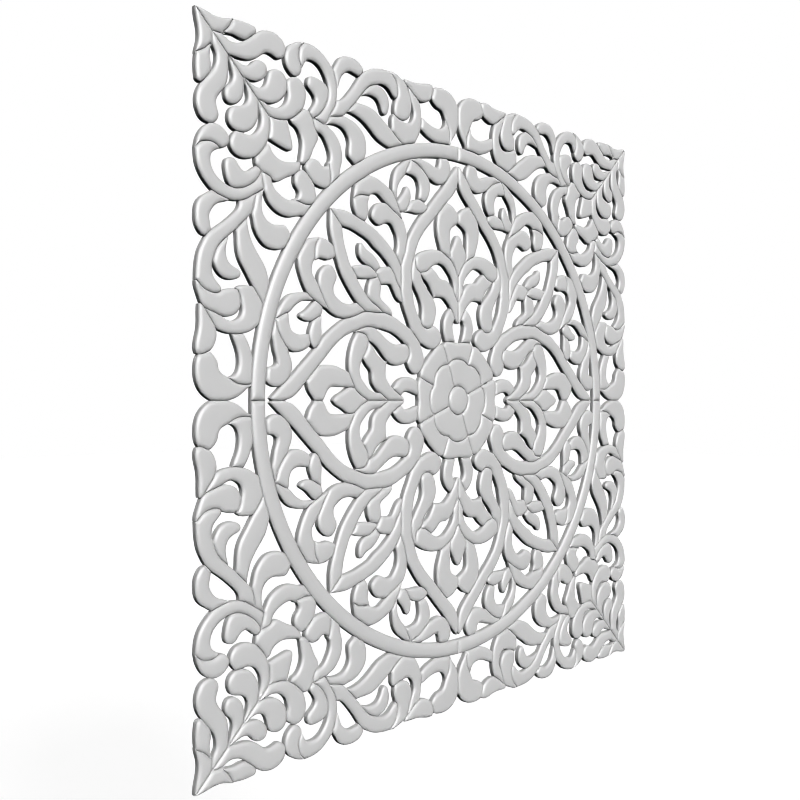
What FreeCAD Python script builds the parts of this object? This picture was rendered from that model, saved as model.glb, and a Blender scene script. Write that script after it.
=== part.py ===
import FreeCAD, Part
import Sketcher
import math
import os

# Carved panel: a square pierced screen panel of eight mirrored parts.
# Four pierced back frets carry carved pieces, four ring arcs and a rosette.
# Right is +X, up is +Z, the carved front looks toward -Y and the flat back lies on y = 0.
# The origin is the middle of the flat back.
# Every outline is a table of shares of the half side: first the distance from the middle
# line toward the edge, then the height over the middle. Each table is a row of runs.
# A run is a smooth curve that ends where the next run starts, with a corner between them.

doc = FreeCAD.newDocument("CarvedPanel")
sheet = doc.addObject("Spreadsheet::Sheet", "Sizes")

sizes = [
    ("half_side", 600.0),
    ("fret_thickness", 6.0),
    ("carving_thickness", 6.0),
    ("crown", 2.0),
    ("groove_overrun", 1.0),
    ("ring_inner_radius", 467.4),
    ("ring_outer_radius", 495.6),
    ("button_radius", 27.9),
    ("button_rise", 1.5),
    ("pin_diameter", 3.0),
    ("pin_length", 30.0),
    ("pin_clearance", 0.1),
    ("fuse_tolerance", 0.02),
    ("pinhole_area", 10.0),
    ("arc_tolerance", 0.15),
]
for row, (alias, value) in enumerate(sizes, start=1):
    sheet.set("A%d" % row, alias)
    sheet.set("B%d" % row, str(value))
    sheet.setAlias("B%d" % row, alias)
doc.recompute()


def size(alias):
    return float(sheet.get(alias))


half_side = size("half_side")
fret_thickness = size("fret_thickness")
carving_thickness = size("carving_thickness")
crown = size("crown")
groove_overrun = size("groove_overrun")
fuse_tolerance = size("fuse_tolerance")
pinhole_area = size("pinhole_area")
arc_tolerance = size("arc_tolerance")

# Border motif on the middle of each side.
edge_tooth_shares = (
    ((0.989, 0.247), (0.990, 0.225), (0.990, 0.200), (0.994, 0.170), (0.999, 0.150), (1.000, 0.134)),
    ((0.996, 0.120), (0.984, 0.1175), (0.972, 0.121)),
    ((0.957, 0.126), (0.942, 0.144), (0.9365, 0.160), (0.935, 0.174), (0.940, 0.190), (0.950, 0.207),
     (0.968, 0.231), (0.984, 0.2475)),
)
edge_heart_shares = (
    ((0.820, 0.044),),
    ((0.820, 0.036), (0.838, 0.0325), (0.854, 0.020), (0.872, 0.009), (0.890, 0.0025), (0.910, -0.002),
     (0.945, -0.002), (0.957, 0.003), (0.971, 0.012), (0.984, 0.025), (0.994, 0.043), (0.999, 0.061),
     (1.000, 0.080), (0.998, 0.100), (0.990, 0.117), (0.972, 0.127), (0.955, 0.1255), (0.940, 0.112),
     (0.932, 0.098), (0.929, 0.083), (0.920, 0.071), (0.902, 0.062), (0.884, 0.0515), (0.868, 0.0445),
     (0.850, 0.042)),
)
hook_leaf_shares = (
    ((0.888, 0.178), (0.880, 0.154), (0.873, 0.138), (0.868, 0.120), (0.8665, 0.100), (0.870, 0.081),
     (0.877, 0.070), (0.889, 0.063)),
    ((0.901, 0.0615), (0.894, 0.052), (0.870, 0.040), (0.850, 0.036)),
    ((0.826, 0.038), (0.818, 0.052), (0.815, 0.075), (0.8165, 0.097), (0.821, 0.113), (0.8265, 0.129),
     (0.833, 0.147), (0.842, 0.163)),
    ((0.853, 0.180),),
)

# Border scroll between the side motif and the corner.
cup_leaf_shares = (
    ((0.999, 0.306), (0.998, 0.290), (0.994, 0.278), (0.988, 0.262), (0.982, 0.249), (0.972, 0.239),
     (0.962, 0.2335), (0.950, 0.230), (0.934, 0.224), (0.920, 0.2195), (0.908, 0.218), (0.895, 0.2195),
     (0.882, 0.224), (0.871, 0.2315), (0.864, 0.2415), (0.8595, 0.256), (0.8605, 0.271)),
    ((0.868, 0.289), (0.880, 0.2935), (0.893, 0.2935), (0.908, 0.290)),
    ((0.920, 0.286), (0.940, 0.288), (0.970, 0.300)),
)
scroll_cup_shares = (
    ((0.974, 0.236), (0.958, 0.214), (0.947, 0.199), (0.938, 0.187), (0.926, 0.181), (0.908, 0.176),
     (0.888, 0.174), (0.860, 0.1755), (0.840, 0.180), (0.824, 0.187), (0.810, 0.196)),
    ((0.794, 0.204), (0.786, 0.225), (0.778, 0.250)),
    ((0.781, 0.262), (0.793, 0.280), (0.806, 0.297)),
    ((0.819, 0.306), (0.834, 0.3045), (0.850, 0.3055), (0.864, 0.302)),
    ((0.8725, 0.295), (0.866, 0.281), (0.8615, 0.268), (0.8585, 0.257), (0.856, 0.246), (0.856, 0.235),
     (0.861, 0.223), (0.870, 0.215), (0.881, 0.210), (0.893, 0.2085), (0.906, 0.212), (0.918, 0.218),
     (0.930, 0.226), (0.950, 0.236)),
)
s_stem_shares = (
    ((0.999, 0.307), (0.990, 0.302), (0.980, 0.2915), (0.968, 0.2835), (0.954, 0.279), (0.936, 0.2775),
     (0.924, 0.2815), (0.920, 0.289), (0.926, 0.298), (0.938, 0.310), (0.947, 0.324), (0.950, 0.340),
     (0.948, 0.355), (0.943, 0.371), (0.936, 0.390), (0.927, 0.403), (0.914, 0.416), (0.900, 0.428),
     (0.880, 0.444), (0.864, 0.460), (0.850, 0.473), (0.834, 0.488), (0.824, 0.500), (0.819, 0.514),
     (0.815, 0.532)),
    ((0.811, 0.556), (0.834, 0.544), (0.850, 0.535)),
    ((0.866, 0.528), (0.868, 0.509), (0.880, 0.494), (0.900, 0.476), (0.920, 0.460), (0.940, 0.446),
     (0.952, 0.437), (0.963, 0.427), (0.972, 0.416), (0.982, 0.398), (0.990, 0.380), (0.995, 0.358),
     (0.998, 0.334), (0.9985, 0.318)),
)
outer_curl_shares = (
    ((0.896, 0.523), (0.916, 0.533), (0.932, 0.539), (0.946, 0.541), (0.958, 0.535), (0.970, 0.528),
     (0.982, 0.520), (0.992, 0.509), (0.998, 0.495), (1.000, 0.480), (1.000, 0.462), (0.996, 0.445),
     (0.989, 0.433), (0.980, 0.424), (0.966, 0.421)),
    ((0.948, 0.433), (0.952, 0.441), (0.955, 0.456), (0.958, 0.471), (0.955, 0.483), (0.946, 0.497),
     (0.934, 0.508), (0.918, 0.514)),
)
inner_curl_shares = (
    ((0.899, 0.430), (0.905, 0.404), (0.907, 0.390), (0.905, 0.376), (0.900, 0.364), (0.890, 0.355),
     (0.876, 0.348), (0.864, 0.342), (0.860, 0.333), (0.865, 0.324), (0.880, 0.317), (0.898, 0.3155),
     (0.917, 0.320), (0.930, 0.330), (0.938, 0.341), (0.944, 0.355), (0.947, 0.370), (0.942, 0.390)),
    ((0.932, 0.406), (0.917, 0.421)),
)
tall_leaf_shares = (
    ((0.876, 0.450), (0.853, 0.477)),
    ((0.839, 0.487), (0.837, 0.462), (0.833, 0.446), (0.828, 0.432), (0.820, 0.416), (0.808, 0.398),
     (0.796, 0.382), (0.784, 0.366), (0.776, 0.350), (0.7695, 0.330), (0.765, 0.310), (0.768, 0.290),
     (0.776, 0.270)),
    ((0.784, 0.252), (0.796, 0.272), (0.808, 0.289), (0.822, 0.306), (0.8375, 0.330), (0.851, 0.350),
     (0.863, 0.370), (0.870, 0.390), (0.873, 0.410), (0.8735, 0.430)),
)
throat_leaf_shares = (
    ((0.782, 0.572), (0.789, 0.551), (0.792, 0.530), (0.791, 0.516), (0.787, 0.502), (0.778, 0.490),
     (0.765, 0.481), (0.750, 0.4775), (0.735, 0.479), (0.720, 0.480), (0.711, 0.4785), (0.705, 0.474),
     (0.700, 0.467)),
    ((0.692, 0.456), (0.690, 0.440)),
    ((0.708, 0.418), (0.720, 0.4145), (0.732, 0.4105), (0.745, 0.409), (0.760, 0.410), (0.776, 0.414),
     (0.790, 0.423), (0.802, 0.436), (0.811, 0.450), (0.8175, 0.467), (0.821, 0.484), (0.825, 0.500),
     (0.824, 0.514), (0.820, 0.532)),
    ((0.814, 0.556), (0.800, 0.563)),
)
crescent_shares = (
    ((1.000, 0.646), (0.990, 0.656), (0.981, 0.663), (0.969, 0.667), (0.954, 0.669), (0.941, 0.667),
     (0.931, 0.661)),
    ((0.926, 0.652), (0.934, 0.648), (0.944, 0.642), (0.952, 0.632), (0.954, 0.618), (0.952, 0.604),
     (0.946, 0.592), (0.936, 0.580), (0.922, 0.570), (0.906, 0.562), (0.890, 0.558), (0.870, 0.557),
     (0.850, 0.562), (0.830, 0.572), (0.814, 0.584), (0.802, 0.598)),
    ((0.795, 0.610), (0.789, 0.591)),
    ((0.784, 0.570), (0.800, 0.558), (0.814, 0.550), (0.830, 0.540), (0.850, 0.530), (0.870, 0.5245),
     (0.890, 0.5235), (0.908, 0.527), (0.924, 0.531), (0.946, 0.539), (0.960, 0.550), (0.972, 0.562),
     (0.984, 0.578), (0.993, 0.596), (0.998, 0.616), (0.9995, 0.632)),
)
crescent_cap_shares = (
    ((1.000, 0.643), (0.998, 0.654), (0.995, 0.666), (0.989, 0.680), (0.980, 0.694), (0.968, 0.705),
     (0.956, 0.711), (0.940, 0.714), (0.924, 0.711), (0.910, 0.703), (0.900, 0.692), (0.8955, 0.681),
     (0.898, 0.670), (0.906, 0.660), (0.918, 0.6545), (0.927, 0.655)),
    ((0.932, 0.658), (0.942, 0.663), (0.954, 0.665), (0.970, 0.663), (0.982, 0.659), (0.990, 0.652)),
)
crescent_heart_shares = (
    ((0.902, 0.632), (0.892, 0.635), (0.880, 0.633), (0.872, 0.626), (0.864, 0.616), (0.856, 0.609),
     (0.846, 0.606), (0.834, 0.610), (0.824, 0.617), (0.814, 0.624), (0.806, 0.6255), (0.798, 0.620),
     (0.793, 0.611), (0.796, 0.600), (0.806, 0.586), (0.822, 0.572), (0.841, 0.561), (0.860, 0.555),
     (0.877, 0.554), (0.893, 0.561), (0.904, 0.576), (0.909, 0.594), (0.911, 0.610), (0.909, 0.624)),
)

# Corner spray, mirrored over the diagonal of the corner.
corner_s_leaf_shares = (
    ((0.896, 0.906), (0.900, 0.893), (0.900, 0.880), (0.8995, 0.860), (0.900, 0.846), (0.903, 0.830),
     (0.910, 0.814), (0.918, 0.802), (0.928, 0.790), (0.935, 0.778), (0.937, 0.768), (0.935, 0.758),
     (0.932, 0.748), (0.929, 0.740), (0.931, 0.729), (0.937, 0.719), (0.948, 0.712), (0.960, 0.711),
     (0.974, 0.715), (0.985, 0.723), (0.992, 0.735), (0.997, 0.750), (0.998, 0.765), (0.996, 0.780),
     (0.990, 0.796), (0.980, 0.810), (0.968, 0.824), (0.957, 0.838), (0.947, 0.852), (0.940, 0.866),
     (0.937, 0.882), (0.938, 0.896), (0.944, 0.908), (0.949, 0.920), (0.950, 0.935)),
    ((0.947, 0.955),),
)
corner_oval_shares = (
    ((0.997, 0.884), (0.986, 0.890), (0.974, 0.897), (0.964, 0.906)),
    ((0.955, 0.916), (0.954, 0.905), (0.9555, 0.892), (0.956, 0.880), (0.953, 0.866), (0.952, 0.855),
     (0.953, 0.843), (0.958, 0.831), (0.970, 0.819), (0.982, 0.810), (0.992, 0.812), (0.998, 0.828),
     (1.000, 0.850), (0.9995, 0.866), (0.998, 0.878)),
)
corner_tip_leaf_shares = (
    ((1.000, 1.006), (0.9995, 0.984), (0.997, 0.970), (0.993, 0.954), (0.991, 0.940), (0.990, 0.926),
     (0.992, 0.912), (0.996, 0.898)),
    ((0.999, 0.880), (0.989, 0.884), (0.979, 0.889), (0.966, 0.898)),
    ((0.950, 0.912), (0.946, 0.936)),
    ((0.944, 0.956),),
)
first_spray_leaf_shares = (
    ((0.902, 0.908),),
    ((0.853, 0.863), (0.852, 0.846), (0.850, 0.832), (0.850, 0.818), (0.852, 0.806), (0.858, 0.793),
     (0.868, 0.782), (0.880, 0.775), (0.892, 0.774), (0.903, 0.778), (0.909, 0.788), (0.911, 0.800),
     (0.908, 0.812), (0.900, 0.822), (0.891, 0.831), (0.886, 0.843), (0.886, 0.855), (0.890, 0.868),
     (0.896, 0.885)),
)
second_spray_leaf_shares = (
    ((0.858, 0.866),),
    ((0.803, 0.813), (0.803, 0.796), (0.802, 0.782), (0.802, 0.768), (0.804, 0.754), (0.810, 0.740),
     (0.820, 0.726), (0.834, 0.714), (0.848, 0.708), (0.864, 0.7065), (0.880, 0.709), (0.892, 0.717),
     (0.899, 0.729), (0.9005, 0.742), (0.898, 0.753), (0.892, 0.764), (0.880, 0.7715), (0.866, 0.7745),
     (0.852, 0.7795), (0.8415, 0.7885), (0.837, 0.800), (0.8375, 0.812), (0.842, 0.826), (0.848, 0.8365),
     (0.8545, 0.848)),
)
third_spray_leaf_shares = (
    ((0.807, 0.813),),
    ((0.770, 0.780), (0.768, 0.766), (0.765, 0.750), (0.765, 0.734), (0.767, 0.716), (0.771, 0.703),
     (0.777, 0.690), (0.788, 0.674), (0.800, 0.661), (0.812, 0.650), (0.828, 0.643), (0.848, 0.639),
     (0.866, 0.641), (0.880, 0.647), (0.890, 0.658), (0.895, 0.672), (0.893, 0.685), (0.886, 0.697),
     (0.876, 0.707), (0.866, 0.7105), (0.857, 0.7095), (0.849, 0.705), (0.838, 0.704), (0.826, 0.7065),
     (0.8145, 0.7125), (0.8055, 0.722), (0.7975, 0.7355), (0.7945, 0.750), (0.795, 0.764),
     (0.7985, 0.776), (0.805, 0.787), (0.811, 0.800)),
)
diamond_half_shares = (
    ((0.778, 0.778),),
    ((0.769, 0.762), (0.7675, 0.752), (0.767, 0.742), (0.767, 0.728), (0.768, 0.715)),
    ((0.769, 0.706), (0.757, 0.702), (0.743, 0.6975), (0.728, 0.693), (0.713, 0.6885), (0.702, 0.6865),
     (0.694, 0.6872), (0.6895, 0.6895)),
)

# Corner fan between the spray and the ring, mirrored over the diagonal.
bracket_leaf_shares = (
    ((0.778, 0.696), (0.768, 0.6905), (0.7635, 0.687), (0.759, 0.678), (0.752, 0.669), (0.743, 0.662),
     (0.732, 0.6575), (0.718, 0.6545), (0.704, 0.655), (0.690, 0.657), (0.678, 0.659), (0.667, 0.661)),
    ((0.659, 0.666), (0.6575, 0.652), (0.6595, 0.643), (0.665, 0.6355), (0.673, 0.629), (0.682, 0.6225),
     (0.692, 0.618), (0.702, 0.614), (0.712, 0.609), (0.722, 0.603), (0.732, 0.5975), (0.742, 0.594),
     (0.750, 0.5945), (0.757, 0.599), (0.763, 0.605), (0.772, 0.609), (0.783, 0.612)),
    ((0.798, 0.611), (0.806, 0.620), (0.811, 0.630), (0.813, 0.642)),
    ((0.815, 0.655), (0.804, 0.665), (0.792, 0.678)),
)
hooked_leaf_shares = (
    ((0.800, 0.616), (0.788, 0.617), (0.776, 0.614), (0.766, 0.609)),
    ((0.757, 0.600), (0.757, 0.590), (0.752, 0.580), (0.746, 0.573), (0.738, 0.567), (0.728, 0.561),
     (0.718, 0.556), (0.706, 0.552), (0.695, 0.551)),
    ((0.684, 0.553), (0.672, 0.560), (0.655, 0.556), (0.640, 0.555), (0.622, 0.557)),
    ((0.602, 0.557),),
    ((0.636, 0.512), (0.650, 0.5135), (0.662, 0.5125), (0.675, 0.509), (0.690, 0.505), (0.705, 0.504),
     (0.719, 0.5055), (0.732, 0.509), (0.7435, 0.5145), (0.754, 0.5215), (0.7645, 0.5305),
     (0.7725, 0.541), (0.7775, 0.552), (0.784, 0.563), (0.789, 0.576), (0.7935, 0.588), (0.797, 0.600)),
)
kidney_leaf_shares = (
    ((0.661, 0.640), (0.669, 0.6345), (0.676, 0.627), (0.680, 0.617), (0.680, 0.606), (0.678, 0.597),
     (0.673, 0.589), (0.667, 0.582), (0.6645, 0.575), (0.666, 0.567), (0.670, 0.560)),
    ((0.675, 0.554), (0.662, 0.5515), (0.650, 0.5485), (0.640, 0.5475), (0.628, 0.5475)),
    ((0.610, 0.549), (0.604, 0.560), (0.6025, 0.568), (0.6025, 0.577), (0.605, 0.590), (0.608, 0.602),
     (0.614, 0.615), (0.622, 0.6245), (0.632, 0.633), (0.643, 0.6395), (0.652, 0.6425)),
)

# Spandrel scroll between the ogee and the ring.
low_lobe_shares = (
    ((0.750, 0.224), (0.755, 0.207), (0.758, 0.190), (0.7575, 0.175), (0.754, 0.160), (0.7515, 0.145),
     (0.7475, 0.130), (0.7435, 0.118), (0.742, 0.108), (0.7435, 0.100), (0.750, 0.095), (0.759, 0.0925),
     (0.770, 0.090), (0.778, 0.080), (0.781, 0.068), (0.777, 0.054), (0.768, 0.045), (0.758, 0.0395),
     (0.747, 0.037), (0.736, 0.037), (0.726, 0.041), (0.716, 0.047), (0.706, 0.055), (0.698, 0.064),
     (0.692, 0.074), (0.689, 0.085), (0.6885, 0.097), (0.690, 0.108), (0.693, 0.118), (0.698, 0.128)),
    ((0.700, 0.136), (0.706, 0.154), (0.716, 0.168), (0.726, 0.182), (0.733, 0.196), (0.737, 0.209)),
    ((0.738, 0.224),),
)
round_comma_shares = (
    ((0.747, 0.222), (0.732, 0.233), (0.716, 0.241)),
    ((0.701, 0.244), (0.6995, 0.226), (0.698, 0.213), (0.695, 0.203), (0.688, 0.193), (0.678, 0.187),
     (0.665, 0.184), (0.650, 0.185), (0.638, 0.186)),
    ((0.624, 0.187), (0.621, 0.175)),
    ((0.620, 0.163), (0.627, 0.152), (0.635, 0.146), (0.645, 0.1405), (0.655, 0.137), (0.668, 0.134),
     (0.680, 0.134), (0.693, 0.1375), (0.702, 0.143), (0.710, 0.151), (0.720, 0.164), (0.730, 0.178),
     (0.737, 0.192), (0.741, 0.205)),
)
bead_leaf_shares = (
    ((0.616, 0.225), (0.6215, 0.210), (0.6255, 0.200), (0.6275, 0.190), (0.6275, 0.180), (0.625, 0.170),
     (0.621, 0.160), (0.616, 0.152), (0.610, 0.1475), (0.603, 0.148), (0.597, 0.1525), (0.590, 0.161),
     (0.585, 0.171), (0.582, 0.182), (0.5815, 0.195), (0.5825, 0.210), (0.5825, 0.225)),
    ((0.582, 0.243), (0.595, 0.240), (0.607, 0.232)),
)
oval_leaf_shares = (
    ((0.600, 0.285), (0.609, 0.279), (0.618, 0.272), (0.628, 0.263), (0.638, 0.254), (0.648, 0.248),
     (0.657, 0.2425), (0.661, 0.2375), (0.660, 0.2325), (0.655, 0.2275), (0.645, 0.2235),
     (0.635, 0.2215), (0.625, 0.2215), (0.615, 0.2245), (0.605, 0.2295), (0.595, 0.235),
     (0.585, 0.2405), (0.581, 0.247), (0.5785, 0.255), (0.5775, 0.264)),
    ((0.576, 0.272), (0.588, 0.281)),
)
arch_leaf_shares = (
    ((0.750, 0.224), (0.744, 0.240), (0.7365, 0.2505), (0.729, 0.260), (0.722, 0.270), (0.7135, 0.280),
     (0.704, 0.288), (0.690, 0.295), (0.675, 0.299), (0.655, 0.3015), (0.643, 0.302)),
    ((0.628, 0.302), (0.612, 0.291)),
    ((0.598, 0.281), (0.610, 0.2805), (0.625, 0.2805), (0.640, 0.2795), (0.650, 0.278), (0.660, 0.274),
     (0.670, 0.268), (0.680, 0.260), (0.690, 0.250)),
    ((0.7005, 0.2415), (0.716, 0.237), (0.731, 0.229)),
)

# Leaves between the lens and the ring.
cap_leaf_shares = (
    ((0.598, 0.4602), (0.580, 0.4615), (0.570, 0.460), (0.560, 0.457), (0.549, 0.4515)),
    ((0.536, 0.446), (0.528, 0.430)),
    ((0.527, 0.416), (0.534, 0.4105), (0.540, 0.4065), (0.549, 0.403), (0.558, 0.400), (0.568, 0.4005),
     (0.578, 0.402), (0.588, 0.402), (0.597, 0.3985)),
    ((0.612, 0.396), (0.612, 0.410), (0.612, 0.421), (0.610, 0.434), (0.607, 0.444), (0.602, 0.453)),
)
sickle_leaf_shares = (
    ((0.646, 0.450), (0.630, 0.454), (0.615, 0.458), (0.600, 0.460)),
    ((0.592, 0.4605), (0.597, 0.450), (0.602, 0.442), (0.605, 0.432), (0.607, 0.420), (0.607, 0.410)),
    ((0.607, 0.396), (0.612, 0.391), (0.616, 0.380), (0.618, 0.370), (0.617, 0.360)),
    ((0.611, 0.350), (0.603, 0.339), (0.5945, 0.326), (0.582, 0.304), (0.573, 0.287), (0.565, 0.274)),
    ((0.555, 0.2575), (0.567, 0.262), (0.577, 0.2665), (0.587, 0.2715), (0.597, 0.2775),
     (0.607, 0.2825), (0.620, 0.2905)),
    ((0.633, 0.300), (0.640, 0.310), (0.6475, 0.323), (0.6545, 0.338), (0.661, 0.354), (0.6655, 0.368),
     (0.668, 0.380), (0.669, 0.392)),
    ((0.674, 0.403), (0.662, 0.428)),
)
inner_comma_shares = (
    ((0.597, 0.322), (0.5955, 0.334), (0.5955, 0.344), (0.594, 0.354), (0.590, 0.364), (0.583, 0.3735),
     (0.574, 0.381), (0.565, 0.3865), (0.5555, 0.3885), (0.545, 0.387), (0.537, 0.3805), (0.530, 0.371),
     (0.526, 0.362), (0.525, 0.354), (0.528, 0.345), (0.532, 0.337), (0.536, 0.328), (0.537, 0.318),
     (0.536, 0.310), (0.532, 0.303), (0.525, 0.297), (0.516, 0.291), (0.508, 0.286), (0.498, 0.2825),
     (0.485, 0.281), (0.470, 0.281), (0.458, 0.2835)),
    ((0.440, 0.289), (0.425, 0.279)),
    ((0.404, 0.262), (0.430, 0.252), (0.450, 0.244), (0.470, 0.238)),
    ((0.487, 0.236), (0.497, 0.238), (0.5075, 0.2385), (0.5175, 0.2395), (0.5275, 0.242),
     (0.5375, 0.246), (0.5475, 0.251)),
    ((0.5575, 0.258), (0.569, 0.275), (0.581, 0.294), (0.590, 0.309)),
)

# Lens on the diagonal: two arms and a small flower of four leaves.
lens_arm_shares = (
    ((0.553, 0.560), (0.5515, 0.543), (0.552, 0.528), (0.552, 0.515), (0.552, 0.500), (0.5505, 0.486),
     (0.547, 0.470), (0.543, 0.456), (0.538, 0.443), (0.534, 0.430), (0.531, 0.418), (0.525, 0.405),
     (0.520, 0.391), (0.514, 0.377), (0.507, 0.363), (0.4975, 0.348), (0.487, 0.334), (0.477, 0.3215),
     (0.467, 0.3095), (0.457, 0.2985), (0.447, 0.2885), (0.438, 0.281), (0.430, 0.276), (0.420, 0.2695)),
    ((0.408, 0.259), (0.380, 0.258), (0.350, 0.258)),
    ((0.334, 0.259), (0.342, 0.2665), (0.350, 0.273), (0.360, 0.2795), (0.370, 0.285), (0.380, 0.290),
     (0.390, 0.2965), (0.400, 0.3045), (0.410, 0.314), (0.418, 0.323), (0.425, 0.331), (0.432, 0.339),
     (0.439, 0.348), (0.445, 0.357), (0.450, 0.366), (0.456, 0.376), (0.463, 0.385), (0.470, 0.3935),
     (0.476, 0.403), (0.481, 0.415), (0.486, 0.428), (0.490, 0.438), (0.494, 0.449), (0.498, 0.462),
     (0.501, 0.476), (0.503, 0.490), (0.504, 0.500)),
    ((0.503, 0.512),),
)
side_petal_shares = (
    ((0.472, 0.390), (0.455, 0.3955), (0.440, 0.399), (0.425, 0.4005), (0.410, 0.4005), (0.400, 0.400),
     (0.390, 0.397), (0.380, 0.390), (0.372, 0.384), (0.366, 0.378)),
    ((0.364, 0.370), (0.370, 0.3665), (0.380, 0.3645), (0.390, 0.362), (0.400, 0.3605), (0.410, 0.3595),
     (0.420, 0.359), (0.430, 0.359), (0.440, 0.3595)),
    ((0.453, 0.361),),
)
free_petal_shares = (
    ((0.369, 0.384), (0.360, 0.387), (0.352, 0.396), (0.355, 0.407), (0.362, 0.417), (0.370, 0.4255),
     (0.380, 0.434), (0.390, 0.440), (0.400, 0.4445), (0.410, 0.449), (0.417, 0.455), (0.424, 0.462)),
    ((0.433, 0.465), (0.439, 0.458), (0.4405, 0.449), (0.4405, 0.440), (0.439, 0.430), (0.435, 0.421),
     (0.428, 0.413), (0.420, 0.407), (0.411, 0.403), (0.402, 0.399), (0.392, 0.395), (0.383, 0.390),
     (0.376, 0.386)),
)
lobed_petal_shares = (
    ((0.362, 0.373), (0.357, 0.363), (0.353, 0.357), (0.350, 0.350), (0.349, 0.340), (0.350, 0.330),
     (0.351, 0.320), (0.351, 0.311), (0.348, 0.305), (0.340, 0.299), (0.330, 0.293), (0.320, 0.287),
     (0.312, 0.281), (0.305, 0.273), (0.3015, 0.266)),
    ((0.3015, 0.255), (0.320, 0.256), (0.335, 0.258)),
    ((0.345, 0.263), (0.362, 0.275), (0.382, 0.285), (0.397, 0.297)),
    ((0.406, 0.308), (0.4055, 0.318), (0.404, 0.330), (0.4025, 0.341), (0.3985, 0.351), (0.393, 0.361),
     (0.383, 0.369), (0.372, 0.375)),
)

# Ogee arm, two of which meet on the diagonal.
ogee_arm_shares = (
    ((0.7625, 0.0065), (0.7485, 0.0200), (0.7335, 0.0330), (0.716, 0.0475), (0.700, 0.0605),
     (0.680, 0.078), (0.658, 0.0995), (0.638, 0.118), (0.618, 0.137), (0.600, 0.154), (0.583, 0.172),
     (0.567, 0.188), (0.550, 0.2015), (0.537, 0.211), (0.520, 0.2225), (0.505, 0.2315), (0.487, 0.2385),
     (0.470, 0.2425), (0.450, 0.2485), (0.430, 0.257), (0.420, 0.261)),
    ((0.411, 0.2635), (0.400, 0.263), (0.380, 0.2625), (0.360, 0.2625), (0.340, 0.2640), (0.330, 0.2635),
     (0.320, 0.2610), (0.310, 0.2590), (0.300, 0.2565), (0.290, 0.253), (0.280, 0.249), (0.270, 0.244),
     (0.260, 0.239), (0.250, 0.234), (0.240, 0.2295), (0.230, 0.2245)),
    ((0.219, 0.2215), (0.219, 0.228)),
    ((0.171, 0.184), (0.178, 0.174), (0.174, 0.165), (0.169, 0.154), (0.165, 0.143), (0.1625, 0.133),
     (0.162, 0.123), (0.164, 0.113), (0.169, 0.104), (0.175, 0.0955), (0.182, 0.088), (0.190, 0.083),
     (0.200, 0.081), (0.211, 0.0835), (0.221, 0.090), (0.2295, 0.100), (0.2345, 0.110)),
    ((0.240, 0.124), (0.237, 0.136), (0.236, 0.148), (0.239, 0.158)),
    ((0.246, 0.170), (0.254, 0.180), (0.264, 0.187), (0.275, 0.1935), (0.288, 0.200), (0.303, 0.206),
     (0.320, 0.2095), (0.340, 0.2135), (0.356, 0.2155)),
    ((0.368, 0.2105), (0.385, 0.213), (0.400, 0.213), (0.418, 0.210), (0.434, 0.204)),
    ((0.452, 0.2005), (0.470, 0.197), (0.480, 0.1925), (0.490, 0.188), (0.500, 0.1825), (0.510, 0.176),
     (0.520, 0.168), (0.530, 0.160), (0.540, 0.151), (0.550, 0.141), (0.560, 0.1305), (0.570, 0.120),
     (0.580, 0.110), (0.590, 0.1005), (0.600, 0.0915), (0.610, 0.082), (0.620, 0.072), (0.630, 0.0615),
     (0.640, 0.051), (0.650, 0.0405), (0.660, 0.030), (0.670, 0.021), (0.680, 0.0135), (0.690, 0.008),
     (0.700, 0.0045), (0.712, 0.0)),
    ((0.716, -0.0065),),
    ((0.748, -0.0065),),
)

# Palmette on each axis, mirrored over the axis.
palm_s_leaf_shares = (
    ((0.458, 0.2015), (0.445, 0.2065), (0.430, 0.212), (0.415, 0.216), (0.400, 0.2185), (0.385, 0.2185),
     (0.374, 0.217)),
    ((0.366, 0.2125), (0.358, 0.207), (0.350, 0.202), (0.340, 0.1955), (0.330, 0.188), (0.320, 0.182),
     (0.310, 0.177), (0.300, 0.173), (0.290, 0.171), (0.280, 0.171), (0.270, 0.172), (0.260, 0.1735),
     (0.250, 0.174)),
    ((0.241, 0.1735), (0.234, 0.167), (0.229, 0.158), (0.2265, 0.148), (0.2275, 0.138), (0.2315, 0.129),
     (0.238, 0.1205), (0.246, 0.1155), (0.255, 0.112), (0.265, 0.109), (0.275, 0.107), (0.286, 0.1065),
     (0.296, 0.1075), (0.306, 0.110), (0.316, 0.1145), (0.326, 0.122), (0.336, 0.131), (0.346, 0.141),
     (0.356, 0.151), (0.366, 0.160), (0.376, 0.167), (0.387, 0.1725)),
    ((0.3985, 0.1755), (0.402, 0.182), (0.406, 0.189), (0.412, 0.195), (0.420, 0.1985), (0.430, 0.200),
     (0.445, 0.2005)),
)
palm_comma_shares = (
    ((0.445, 0.2035), (0.452, 0.194), (0.459, 0.183), (0.465, 0.172), (0.470, 0.160), (0.474, 0.148),
     (0.477, 0.136), (0.479, 0.122), (0.4795, 0.108), (0.479, 0.095), (0.477, 0.083), (0.473, 0.072),
     (0.467, 0.061), (0.461, 0.050)),
    ((0.455, 0.039), (0.445, 0.027), (0.436, 0.020), (0.426, 0.0135), (0.416, 0.0085), (0.407, 0.003)),
    ((0.402, -0.002),),
    ((0.317, -0.002), (0.322, 0.004), (0.330, 0.0095), (0.340, 0.0155)),
    ((0.352, 0.0235), (0.365, 0.0235), (0.378, 0.0255), (0.390, 0.030), (0.400, 0.036), (0.410, 0.045),
     (0.420, 0.056), (0.430, 0.068), (0.434, 0.080), (0.4355, 0.090), (0.434, 0.100), (0.431, 0.110)),
    ((0.4285, 0.117), (0.4245, 0.123), (0.419, 0.131), (0.413, 0.139), (0.408, 0.147), (0.404, 0.156),
     (0.402, 0.166)),
    ((0.396, 0.177), (0.400, 0.188), (0.408, 0.196), (0.418, 0.2015), (0.430, 0.204)),
)
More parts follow.
